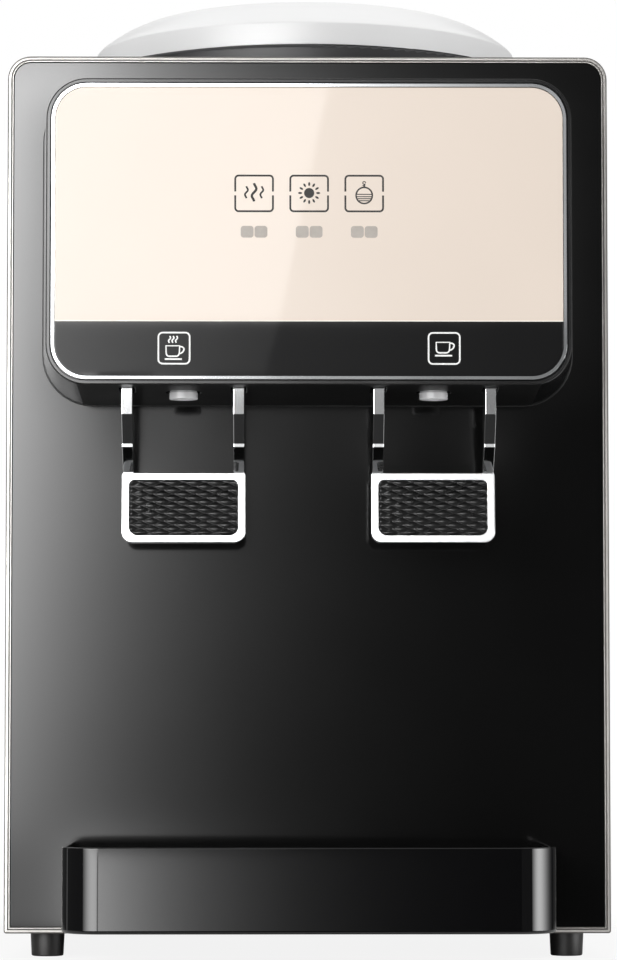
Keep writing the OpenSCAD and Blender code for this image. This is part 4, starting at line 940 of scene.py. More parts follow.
@dataclass
class WindowPrint:
    """The icons printed on the window, and the plain grey patches under the lamps' icons."""

    ink: tuple[float, float] = (WINDOW_Y - 0.04, WINDOW_Y + 0.05)
    lamps: tuple[int, ...] = (-1, 0, 1)
    lamp_pitch: float = 24.4
    lamp_z: float = 340.5
    lamp_half: tuple[float, float] = (8.35, 7.95)
    lamp_r: float = 1.5
    lamp_gap: float = 0.85
    lamp_line: float = 0.85
    # Offset, height and line width of each wave
    waves: tuple[tuple[float, float, float], ...] = ((-3.4, 5.4, 0.95), (0.0, 8.2, 1.25), (3.4, 5.4, 0.95))
    wave_swing: float = 0.16
    wave_rise: float = 0.5
    wave_steps: int = 14
    sun_r: float = 2.25
    sun_rise: float = 0.2
    ray: tuple[float, float] = (0.9, 0.46)
    ray_at: float = 4.0
    rays: int = 12
    ball_r: float = 3.6
    ball_drop: float = 0.85
    ball_line: float = 0.8
    ball_rows: tuple[float, ...] = (-0.5, 0.55, 1.45, 2.35)
    row_inset: float = 0.2
    fine_line: float = 0.5
    ball_turn: float = 345.0
    neck: tuple[float, float] = (0.8, 0.95)
    neck_rise: float = 0.75
    loop_r: float = 0.62
    loop_rise: float = 2.0
    loop_turn: float = 330.0
    patch: Outline = Outline(2.85, 320.8, 326.0, 1.3, 1.3)
    patch_offset: float = 3.05
    cup_x: float = 59.7
    cup_z: float = 271.6
    cup_half: float = 6.9
    cup_corner: float = 1.9
    square_line: float = 0.82
    cup_line: float = 0.75
    cup_rim: Points = ((-3.55, 2.7), (2.5, 2.7), (2.35, -0.55))
    cup_base: Points = ((0.95, -0.6), (-2.1, -0.6))
    cup_base_r: float = 1.35
    cup_handle: Points = (
        (2.5, 2.3), (3.6, 2.25), (4.35, 1.65), (4.4, 0.85), (3.85, -0.05), (3.1, -0.6), (2.2, -0.75))
    saucer: Points = ((-4.1, -3.2), (3.5, -3.2))
    saucer_line: float = 0.85
    wisps: tuple[float, ...] = (-2.0, -0.45, 1.1)
    wisp_swing: float = 0.45
    wisp_z: tuple[float, float] = (4.1, 2.9)
    wisp_line: float = 0.72
    wisp_steps: int = 10
    wisp_room: float = 1.65

    def build(self) -> None:
        """Prints the lamps' icons, the patches under them and the taps' icons."""
        icons = Shape()
        self.frames(icons)
        self.steam(icons)
        self.sun(icons)
        self.ball(icons)
        icons.piece("lamp_icons_print", Body.CASING, [DARK_INK], sharp=60.0)
        patches = Shape()
        for lamp in self.lamps:
            for side in (-1.0, 1.0):
                patches.plate(self.patch, *self.ink, lamp * self.lamp_pitch + side * self.patch_offset)
        patches.piece("lamp_windows_print", Body.CASING, [GREY_INK])
        cups = Shape()
        for tap in Tap:
            self.cup(cups, tap)
        cups.piece("cup_icons_print", Body.CASING, [WHITE_INK], sharp=60.0)

    def frames(self, shape: Shape) -> None:
        """Draws the lamps' frames, each in an upper and a lower half.

        Args:
            shape: the print's mesh.
        """
        half_w, half_h = self.lamp_half
        r, lines = self.lamp_r, []
        for lamp in self.lamps:
            right, left = lamp * self.lamp_pitch + half_w, lamp * self.lamp_pitch - half_w
            for sign in (1.0, -1.0):
                z_end, z_arc = self.lamp_z + sign * self.lamp_gap, self.lamp_z + sign * half_h - sign * r
                turn = 90.0 * sign
                lines.append([(right, z_end)] + arc(right - r, z_arc, r, 0.0, turn)
                             + arc(left + r, z_arc, r, turn, 2.0 * turn) + [(left, z_end)])
        shape.strokes(lines, self.lamp_line, WINDOW_Y)

    def steam(self, shape: Shape) -> None:
        """Draws the left lamp's waves of steam.

        Args:
            shape: the print's mesh.
        """
        z = self.lamp_z + self.wave_rise
        shares = [k / self.wave_steps for k in range(self.wave_steps + 1)]
        for offset, size, width in self.waves:
            x, swing = offset - self.lamp_pitch, self.wave_swing * size
            wave = [(x - swing * math.sin(math.tau * t) * math.sin(math.pi * t), z + size * (t - 0.5))
                    for t in shares]
            shape.strokes([wave], width, WINDOW_Y)

    def sun(self, shape: Shape) -> None:
        """Draws the middle lamp's sun with its rays.

        Args:
            shape: the print's mesh.
        """
        z = self.lamp_z + self.sun_rise
        shape.disc(0.0, z, self.sun_r, self.sun_r, *self.ink)
        for k in range(self.rays):
            turn = 360.0 / self.rays * k
            x, rise = (self.ray_at * way(math.radians(turn)) for way in (math.cos, math.sin))
            shape.disc(x, z + rise, *self.ray, *self.ink, turn, steps=12)

    def ball(self, shape: Shape) -> None:
        """Draws the right lamp's half-filled ball with its neck and loop.

        Args:
            shape: the print's mesh.
        """
        x, z, r = self.lamp_pitch, self.lamp_z - self.ball_drop, self.ball_r
        shape.strokes([arc(x, z, r, 0.0, self.ball_turn, steps=36)], self.ball_line, WINDOW_Y, closed=True)
        lines = [arc(x, z + r + self.loop_rise, self.loop_r, 0.0, self.loop_turn, steps=12)]
        for drop in self.ball_rows:
            reach = math.sqrt(r ** 2 - drop ** 2) - self.row_inset
            lines.append([(x - reach, z - drop), (x + reach, z - drop)])
        shape.strokes(lines, self.fine_line, WINDOW_Y)
        shape.disc(x, z + r + self.neck_rise, *self.neck, *self.ink, turn=90.0, steps=3)

    def cup(self, shape: Shape, tap: Tap) -> None:
        """Draws a tap's cup in a square, steaming over the hot tap.

        Args:
            shape: the print's mesh.
            tap: the tap.
        """
        x = tap.value * self.cup_x
        z = self.cup_z - (self.wisp_room if tap is Tap.HOT else 0.0)
        reach, square = self.cup_half - self.cup_corner, []
        for turn, sx, sz in ((0.0, 1, 1), (90.0, -1, 1), (180.0, -1, -1), (270.0, 1, -1)):
            square += arc(x + sx * reach, self.cup_z + sz * reach, self.cup_corner, turn, turn + 90.0)
        shape.strokes([square], self.square_line, WINDOW_Y, closed=True)
        cup = moved(self.cup_rim, x, z)
        for (base_x, base_z), turn in zip(moved(self.cup_base, x, z), (0.0, -90.0)):
            cup += arc(base_x, base_z, self.cup_base_r, turn, turn - 90.0, steps=5)
        shape.strokes([cup], self.cup_line, WINDOW_Y, closed=True)
        shape.strokes([moved(self.cup_handle, x, z)], self.cup_line, WINDOW_Y)
        shape.strokes([moved(self.saucer, x, z)], self.saucer_line, WINDOW_Y)
        if tap is Tap.HOT:
            low, rise = self.wisp_z
            shares = [k / self.wisp_steps for k in range(self.wisp_steps + 1)]
            for offset in self.wisps:
                wisp = [(x + offset - self.wisp_swing * math.sin(math.tau * t), z + low + rise * t)
                        for t in shares]
                shape.strokes([wisp], self.wisp_line, WINDOW_Y)


@dataclass
class TapSet:
    """One tap: its push lever with the pad on it, and its nozzle."""

    tap: Tap
    x: float = 56.0
    y: float = -131.5
    paddle_y: float = PANEL_Y - 33.5
    paddle_z: float = 202.85
    lean: float = 5.5
    pad_half: float = 24.45
    pad_half_h: float = 12.47
    pad_depth: float = 1.3
    pad_r_low: float = 4.0
    pad_r_high: float = 2.5
    pad_low: float = -0.34
    pad_fade: float = 0.8
    pad_rim: float = 0.1
    pad_cells: tuple[int, int] = (160, 112)
    leaf_l: float = 9.6
    leaf_pitch: float = 1.75
    leaf_rise: float = 0.72
    pivot: Point = (-143.5, 293.0)
    arm_out: float = 27.2
    arm_w: float = 4.7
    arm_edge: float = 0.12
    # Side view of an arm: how far before the panel each point lies, and its height
    arm_line: Points = (
        (53.5, 289.5), (53.5, 243.3), (44.5, 230.7), (44.5, 229.3), (31.98, 218.6), (31.68, 215.6),
        (28.18, 215.6), (27.98, 220.6), (39.5, 232.2), (48.5, 245.3), (48.5, 289.5))
    hub_r: float = 3.2
    boss_r: float = 4.5
    bore: float = 1.6
    prong: tuple[float, float] = (3.5, 6.0)
    prong_r: float = 1.2
    prong_bore: float = 0.2
    prong_root: float = 0.3
    plate: Outline = Outline(27.8, -15.83, 15.83, 5.0, 1.0)
    plate_t: float = 4.0
    plate_edge: float = 0.4
    plate_turns: tuple[float, ...] = (0.0, 30.0, 60.0, 90.0)
    satin_from: float = 0.5
    # Rear edge of the plate and front edge of the pad's seat: inset, and depth from that face
    plate_rear: Points = ((0.3, 0.0), (0.09, 0.09), (0.0, 0.3))
    seat: Outline = Outline(24.5, -12.53, 12.53, 4.0, 2.5)
    seat_edge: Points = ((-0.2, 0.01), (-0.06, 0.06), (0.0, 0.2))
    seat_t: float = 1.8
    nozzle_z: float = 250.9
    # Radius of the nozzle, and height above its foot
    nozzle_line: Points = (
        (3.1, 0.25), (3.35, 0.0), (5.95, 0.0), (6.25, 0.12), (6.35, 0.4), (6.35, 2.85), (6.25, 3.05),
        (6.05, 3.1), (6.05, 9.0), (5.46, 9.0), (5.46, 3.0), (3.1, 3.0))
    nozzle_rim: float = 3.07

    def build(self) -> None:
        """Builds the lever, its pad and the nozzle."""
        name = self.tap.name.lower()
        body = Body.HOT_LEVER if self.tap is Tap.HOT else Body.COLD_LEVER
        lever = Shape()
        for side in (-1.0, 1.0):
            self.arm(lever, side)
            self.prong_bar(lever, side)
        lever.tube(-self.arm_out, self.arm_out, self.pivot, self.hub_r, self.bore)
        self.paddle(lever)
        bmesh.ops.translate(lever.bm, vec=(self.tap.value * self.x, 0.0, 0.0), verts=lever.bm.verts)
        lever.piece(f"lever_frame_{name}", body, [PLATED_ABS, SATIN_PLATE],
                    [f"lever_{name}"], sharp=12.0)
        self.pad(name, body)
        self.nozzle(name)

    def arm(self, shape: Shape, side: float) -> None:
        """Builds one bent arm: its side view given a width and fine edges, and the boss that it hangs from.

        Args:
            shape: the lever's mesh.
            side: -1 for the left arm, 1 for the right one.
        """
        bm = shape.bm
        low = min(side * self.arm_out, side * (self.arm_out - self.arm_w))
        near = [bm.verts.new((low, PANEL_Y - ahead, z)) for ahead, z in self.arm_line]
        far = verts_of(bmesh.ops.extrude_face_region(bm, geom=[bm.faces.new(near)])["geom"])
        bmesh.ops.translate(bm, vec=(self.arm_w, 0.0, 0.0), verts=far)
        edges = [edge for face in (near, far) for edge in bm.edges if set(edge.verts) <= set(face)]
        bmesh.ops.bevel(bm, geom=edges, offset=self.arm_edge, offset_type="OFFSET", segments=2, profile=0.5,
                        affect="EDGES", clamp_overlap=True, material=-1)
        shape.tube(low, low + self.arm_w, self.pivot, self.boss_r, self.bore)

    def prong_bar(self, shape: Shape, side: float) -> None:
        """Builds one of the prongs that lift the valve's button.

        Args:
            shape: the lever's mesh.
            side: -1 for the left prong, 1 for the right one.
        """
        low, high = sorted(side * x for x in self.prong)
        root, z = self.pivot
        start = root + self.hub_r - self.prong_root
        shape.bar((low, start, z - self.prong_r), (high, self.y, z + self.prong_r))
        shape.tube(low, high, (self.y, z), self.prong_r, self.prong_bore)

    def placed(self, x: float = 0.0) -> Matrix:
        """Returns the paddle's place and lean."""
        place = Matrix.Translation((x, self.paddle_y, self.paddle_z))
        return place @ Matrix.Rotation(math.radians(-self.lean), 4, "X")

    def paddle(self, shape: Shape) -> None:
        """Builds the leaning paddle: a plate with round edges and a seat for the pad.

        Args:
            shape: the lever's mesh.
        """
        known = set(shape.bm.verts)
        rows = [(self.plate, by, self.plate_t - ahead) for by, ahead in self.plate_rear]
        for turn in map(math.radians, self.plate_turns):
            by, y = (self.plate_edge * (1.0 - way(turn)) for way in (math.cos, math.sin))
            rows.append((self.plate, by, y))
        rows += [(self.seat, by, y) for by, y in (*self.seat_edge, (0.0, self.seat_t))]
        shape.block([shape.outline(line.inset(by), y) for line, by, y in rows])
        shape.bm.normal_update()
        satin = self.satin_from
        shape.paint(1, lambda face: not known.intersection(face.verts) and abs(face.normal.y) > satin)
        bmesh.ops.transform(shape.bm, matrix=self.placed(), verts=shape.made_since(known))

    def relief(self, u: float, v: float) -> float:
        """Returns the height of the pad's leaves.

        Args:
            u: place across the pad.
            v: place up the pad.

        Returns:
            The height above the pad's low ground.
        """
        swing = 0.5 * self.leaf_pitch * math.cos(math.tau * u / self.leaf_l)
        row = math.floor(v / self.leaf_pitch)
        for n in (row - 1, row, row + 1):
            low = n * self.leaf_pitch + (swing if n % 2 == 0 else -swing)
            high = (n + 1) * self.leaf_pitch + (-swing if n % 2 == 0 else swing)
            if low <= v < high:
                crest = self.leaf_rise * math.sqrt((high - low) / (2.0 * self.leaf_pitch))
                return crest * math.sin(math.pi * (v - low) / (high - low))
        return 0.0

    def pad(self, name: str, body: Body) -> None:
        """Builds the pad: a grid drawn in to round corners, raised into leaves, its sides let into the lever.

        Args:
            name: the tap's name.
            body: the lever's body.
        """
        shape = Shape()
        bm = shape.bm
        across, up = self.pad_cells
        bmesh.ops.create_grid(bm, x_segments=across, y_segments=up, size=0.5)
        bmesh.ops.scale(bm, vec=(2.0 * self.pad_half, 2.0 * self.pad_half_h, 1.0), verts=bm.verts)
        rim = [v for v in bm.verts if v.is_boundary]
        for vert in bm.verts:
            radius = self.pad_r_low if vert.co.y < 0.0 else self.pad_r_high
            middle = Vector((math.copysign(self.pad_half - radius, vert.co.x),
                             math.copysign(self.pad_half_h - radius, vert.co.y), 0.0))
            out = vert.co - middle
            if out.x * vert.co.x > 0.0 and out.y * vert.co.y > 0.0 and out.length > radius:
                vert.co = middle + out * (radius / out.length) * max(abs(out.x), abs(out.y)) / radius
        for vert in bm.verts:
            edge = min(self.pad_half - abs(vert.co.x), self.pad_half_h - abs(vert.co.y), self.pad_fade)
            height = self.relief(vert.co.x, vert.co.y) * max(edge / self.pad_fade, 0.0)
            vert.co.z = self.pad_low + height
        for vert in rim:
            vert.co.z = self.pad_low - self.pad_rim
        edges = [e for e in bm.edges if e.is_boundary]
        made = bmesh.ops.extrude_edge_only(bm, edges=edges)["geom"]
        bmesh.ops.translate(bm, vec=(0, 0, -self.pad_depth), verts=verts_of(made))
        bmesh.ops.holes_fill(bm, edges=[e for e in bm.edges if e.is_boundary], sides=0)
        place = self.placed(self.tap.value * self.x) @ UPRIGHT.to_4x4()
        bmesh.ops.transform(bm, matrix=place, verts=bm.verts)
        shape.piece(f"lever_pad_relief_{name}", body, [PAD_RUBBER], [f"lever_pad_{name}"],
                    sharp=60.0)

    def nozzle(self, name: str) -> None:
        """Turns the nozzle: a pale rim under a grey sleeve, whose darker grey is partly painted shade.

        Args:
            name: the tap's name.
        """
        axis = (self.tap.value * self.x, self.y)
        shape = Shape()
        shape.lathe(moved(self.nozzle_line, 0.0, self.nozzle_z), axis, steps=64, closed=True)
        sleeve_z = self.nozzle_z + self.nozzle_rim
        # The sleeve above the rim gets the darker grey: partly painted shade under the hood
        shape.paint(1, lambda face: face.calc_center_median().z > sleeve_z)
        shape.piece(f"nozzle_turned_{name}", Body.CASING, [PALE_ACETAL, SHADED_GREY_ACETAL],
                    [f"nozzle_{name}"])


@dataclass
class DripTray:
    """The pull-out tray and the slotted grille in it."""

    low_z: float = 14.8
    low_r: float = 1.6
    rim_z: float = 52.3
    rim_r: float = 0.55
    near: float = 0.05
    grille_edge: float = 0.3

    def build(self) -> None:
        """Builds the tray, with a round lower edge and a fine rim, and the grille."""
        tray = Shape()
        tray.copy("drip_tray")
        tray.soften(self.low_r, angle=40.0, segments=4, where=lambda at: at.z < self.low_z + self.near)
        tray.soften(self.rim_r, angle=40.0, segments=3, where=lambda at: at.z > self.rim_z - self.near)
        tray.piece("drip_tray_basin", Body.TRAY, [TRAY_ABS], ["drip_tray"], sharp=30.0)
        rounded("drip_grille", "drip_grille_plate", Body.GRILLE, GRAINED_ABS,
                self.grille_edge)


@dataclass
class BottleSeat:
    """The white funnel that the bottle stands in, with its probe and gasket.

    Each point of an edge is given by its distance along the radius and its height from the edge's corner.
    """

    radius: float = 103.0
    low_z: float = 423.5
    band_z: float = 434.5
    top_z: float = 448.8
    rim_in: float = 28.0
    rim_w: float = 3.0
    bulge: float = 2.3
    shoulder_steps: int = 18
    throat_r: float = 30.0
    throat_z: tuple[float, float] = (394.3, 408.3)
    well_r: float = 30.8
    well_z: float = 370.3
    wall: float = 3.0
    wall_lean: tuple[float, float] = (0.45, 1.05)
    wall_drop: float = 1.0
    band_foot: Points = ((-0.5, 0.0), (-0.12, 0.15), (0.0, 0.6))
    band_head: Points = ((0.0, -1.0), (-0.12, -0.45), (-0.45, 0.0))
    rim_outer: Points = ((0.0, -0.12), (-0.8, 0.0))
    rim_inner: Points = ((0.9, 0.0), (0.1, -0.15), (-0.6, -0.6))
    mouth: Points = ((3.2, 3.1), (1.0, 1.3), (0.2, 0.0), (0.0, -1.0))
    probe_edge: float = 0.4

    def shoulder(self, share: float, depth: float = 0.0) -> Point:
        """Returns a point of the domed shoulder.

        Args:
            share: its place, from 0 at the band to 1 at the rim.
            depth: how far under the surface it lies.

        Returns:
            The point's radius and height.
        """
        inward, down = (depth * lean for lean in self.wall_lean)
        rise = (self.top_z - self.band_z) * share + 4.0 * self.bulge * share * (1.0 - share)
        return (self.radius - self.rim_in * share - inward, self.band_z + rise - down)

    def build(self) -> None:
        """Builds the collar and the probe, and dresses the gasket."""
        low, high = self.throat_z
        rim = self.radius - self.rim_in
        tube, skirt = self.well_r + self.wall, self.radius - self.wall
        profile = moved(self.band_foot, self.radius, self.low_z)
        profile += moved(self.band_head, self.radius, self.band_z)
        profile += [self.shoulder(k / self.shoulder_steps) for k in range(1, self.shoulder_steps)]
        profile += moved(self.rim_outer, rim, self.top_z)
        profile += moved(self.rim_inner, rim - self.rim_w, self.top_z)
        profile += moved(self.mouth, self.throat_r, high)
        profile += [(self.throat_r, low), (self.well_r, low), (self.well_r, self.well_z), (tube, self.well_z),
                    (tube, high - self.wall_drop)]
        profile += [self.shoulder(k / 3.0, self.wall) for k in (3, 2, 1)]
        profile += [(skirt, self.band_z - self.wall_drop), (skirt, self.low_z)]
        collar = Shape()
        collar.lathe(profile, (0.0, SEAT_Y), steps=160, closed=True)
        collar.piece("bottle_seat_funnel", Body.SEAT, [WHITE_ABS], ["bottle_collar"],
                     sharp=40.0)
        rounded("bottle_probe", "bottle_seat_probe", Body.SEAT, MILKY_PP, self.probe_edge,
                angle=35.0)
        dress("collar_gasket", SEAL_SILICONE)


@dataclass
class Casing:
    """The covers round the body, the base plate and the feet."""

    edge: float = 0.5
    foot_x: float = 119.1
    foot_y: tuple[float, float] = (-74.5, 137.5)
    # Radius and height of a foot
    foot_line: Points = (
        (0.0, 0.0), (6.7, 0.0), (7.15, 0.2), (7.35, 0.7), (7.8, 10.4), (7.6, 10.9), (7.2, 11.0), (0.0, 11.0))

    def build(self) -> None:
        """Builds the covers with rounded edges, the base and the feet."""
        for node, name in (("left_side_cover", "left_cover"), ("right_side_cover", "right_cover"),
                           ("top_cover", "top_cover_plateau"), ("rear_panel", "rear_panel_vents"),
                           ("base_plate", "base_pan")):
            rounded(node, name, Body.CASING, GRAINED_ABS, self.edge)
        feet = Shape()
        for side in (-1.0, 1.0):
            for y in self.foot_y:
                feet.lathe(self.foot_line, (side * self.foot_x, y), steps=48)
        feet.piece("feet_turned", Body.CASING, [FOOT_RUBBER], ["feet"], sharp=40.0)


@dataclass
class RearFittings:
    """The switch, the cord gland, the drain and the screws on the rear panel."""

    edge: float = 0.5
    rocker_edge: float = 0.4
    cap_edge: float = 0.3

    def build(self) -> None:
        """Builds the rear pieces from the model's own, with rounded edges."""
        rounded("switch_body", "switch_housing", Body.CASING, BLACK_NYLON, self.edge)
        rounded("switch_rocker", "switch_rocker_key", Body.ROCKER, RED_PC, self.rocker_edge)
        rounded("cord_gland", "cord_gland_collar", Body.CASING, BLACK_NYLON, self.edge)
        rounded("drain_cap", "drain_cap_fluted", Body.CAP, BLACK_NYLON, self.cap_edge)
        dress("drain_spout", TAP_NYLON)
        dress("rear_screws", ZINC_SCREW)


@dataclass
class Inside:
    """What the covers hide: the water path, the heater, the indicator board and the fixings."""

    stem_lift: float = 2.7

    def finishes(self) -> dict[str, Finish]:
        """Chooses the finish of each inner node.

        Returns:
            The finishes by node.
        """
        made = {
            "light_box": WHITE_PC, "indicator_board": BOARD, "indicator_leds": LAMP_RESIN,
            "reservoir": MILKY_PP, "hot_tank": BRIGHT_STEEL, "tank_jacket": FOAM, "tank_stand": GALVANISED,
            "heating_element": HEATER_STEEL, "tank_thermostats": PHENOLIC, "wiring_loom": WIRE_PVC,
            "head_screws": ZINC_SCREW}
        for hose in ("feed_hose", "cold_hose", "hot_hose", "vent_hose", "drain_hose"):
            made[hose] = SILICONE
        for tap in Tap:
            name = tap.name.lower()
            made.update({
                f"tap_bracket_{name}": GALVANISED, f"tap_body_{name}": TAP_NYLON, f"tap_nut_{name}": BRASS,
                f"tap_cap_{name}": TAP_NYLON, f"valve_stem_{name}": TAP_NYLON,
                f"valve_seal_{name}": SEAL_SILICONE, f"pivot_pin_{name}": BRIGHT_STEEL})
        return made

    def build(self) -> None:
        """Dresses every inner node and builds the return springs."""
        for node, finish in self.finishes().items():
            dress(node, finish)
        for tap in Tap:
            self.spring(tap)

    def spring(self, tap: Tap) -> None:
        """Builds a valve's return spring under the cap, from a copy of the model's own.

        Args:
            tap: the tap that it belongs to.
        """
        name = tap.name.lower()
        shape = Shape()
        shape.copy(f"valve_spring_{name}")
        coil = shape.piece(f"valve_spring_coil_{name}", Body.CASING, [SPRING_WIRE],
                           [f"valve_spring_{name}"], sharp=70.0)
        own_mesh(coil)


# Studio


class Facing(Enum):
    """How a studio card stands."""

    ACROSS = "upright, across the view"
    ALONG = "upright, along the view"
    LEVEL = "level"


@dataclass(frozen=True)
class Glow:
    """Even light of a card."""

    level: float

    def feed(self, tree: bpy.types.NodeTree, lit: bpy.types.Node) -> None:
        """Sets the strength of the light.

        Args:
            tree: the card's nodes; not used by an even light.
            lit: the light's node.
        """
        lit.inputs["Strength"].default_value = self.level


@dataclass(frozen=True)
class FadingGlow(Glow):
    """Light that fades to the right and may grow with height."""

    start: float = 0.0
    length: float = 1.0
    most: float = 1.5
    rise: float = 0.0

    def feed(self, tree: bpy.types.NodeTree, lit: bpy.types.Node) -> None:
        """Sets the strength of the light.

        Args:
            tree: the card's nodes.
            lit: the light's node.
        """
        place = add_node(tree, "ShaderNodeTexCoord").outputs["Object"]
        parts = add_node(tree, "ShaderNodeSeparateXYZ", links={"Vector": place})
        along = add_node(tree, "ShaderNodeMath", {"operation": "MULTIPLY_ADD", 1: -1.0 / self.length,
                                                  2: self.start / self.length}, {0: parts.outputs["X"]})
        fall = add_node(tree, "ShaderNodeMath", {"operation": "POWER", 0: math.e}, {1: along.outputs[0]})
        held = add_node(tree, "ShaderNodeMath", {"operation": "MINIMUM", 1: self.most}, {0: fall.outputs[0]})
        height = add_node(tree, "ShaderNodeMath", {"operation": "MULTIPLY_ADD", 1: self.rise, 2: self.level},
                          {0: parts.outputs["Z"]})
        power = add_node(tree, "ShaderNodeMath", {"operation": "MULTIPLY"},
                         {0: held.outputs[0], 1: height.outputs[0]})
        tree.links.new(power.outputs[0], lit.inputs["Strength"])


@dataclass(frozen=True)
class BandGlow(Glow):
    """Light that is strongest along one line of the card and falls off softly on either side."""

    middle: float = 0.0
    spread: float = 1.0
    facing: Facing = Facing.ALONG

    def feed(self, tree: bpy.types.NodeTree, lit: bpy.types.Node) -> None:
        """Sets the strength of the light.

        Args:
            tree: the card's nodes.
            lit: the light's node.
        """
        place = add_node(tree, "ShaderNodeTexCoord").outputs["Object"]
        parts = add_node(tree, "ShaderNodeSeparateXYZ", links={"Vector": place})
        along = parts.outputs["X" if self.facing is Facing.ACROSS else "Y"]
        off = add_node(tree, "ShaderNodeMath", {"operation": "MULTIPLY_ADD", 1: 1.0 / self.spread,
                                                2: -self.middle / self.spread}, {0: along})
        square = add_node(tree, "ShaderNodeMath", {"operation": "MULTIPLY"},
                          {0: off.outputs[0], 1: off.outputs[0]})
        fall = add_node(tree, "ShaderNodeMath", {"operation": "POWER", 0: 1.0 / math.e},
                        {1: square.outputs[0]})
        level = add_node(tree, "ShaderNodeMath", {"operation": "MULTIPLY", 1: self.level},
                         {0: fall.outputs[0]})
        tree.links.new(level.outputs[0], lit.inputs["Strength"])


@dataclass(frozen=True)
class Card:
    """A glowing or dark card that only reflections see."""

    name: str
    facing: Facing
    at: float
    low: tuple[float, float]
    high: tuple[float, float]
    glow: Glow
    lean_left: float = 0.0
    lean_right: float = 0.0

    def build(self) -> None:
        """Makes the card, whose sides may lean."""
        bm = bmesh.new()
        verts = bmesh.ops.create_grid(bm, x_segments=1, y_segments=1, size=0.5)["verts"]
        size = [high - low for low, high in zip(self.low, self.high)]
        middle = [(low + high) / 2.0 for low, high in zip(self.low, self.high)]
        bmesh.ops.scale(bm, vec=(*size, 1.0), verts=verts)
        for side, lean in ((-1.0, self.lean_left), (1.0, self.lean_right)):
            top = [v for v in verts if v.co.y > 0.0 and v.co.x * side > 0.0]
            bmesh.ops.translate(bm, vec=(lean, 0.0, 0.0), verts=top)
        bmesh.ops.translate(bm, vec=(*middle, self.at), verts=verts)
        if self.facing is not Facing.LEVEL:
            bmesh.ops.rotate(bm, matrix=UPRIGHT, verts=verts)
            bmesh.ops.scale(bm, vec=(1.0, -1.0, 1.0), verts=verts)
        if self.facing is Facing.ALONG:
            bmesh.ops.rotate(bm, matrix=Matrix.Rotation(math.radians(90), 3, "Z"), verts=verts)
            bmesh.ops.scale(bm, vec=(-1.0, 1.0, 1.0), verts=verts)
        made = link_mesh(self.name, bm, [self.material()])
        made.visible_camera = False
        made.visible_diffuse = False
        made.visible_shadow = False
        made.visible_transmission = False

    def material(self) -> bpy.types.Material:
        """Makes the card's light.

        Returns:
            The material.
        """
        made = bpy.data.materials.new(self.name)
        tree = fresh_nodes(made)
        lit = add_node(tree, "ShaderNodeEmission")
        self.glow.feed(tree, lit)
        add_node(tree, "ShaderNodeOutputMaterial", links={"Surface": lit.outputs["Emission"]})
        return made


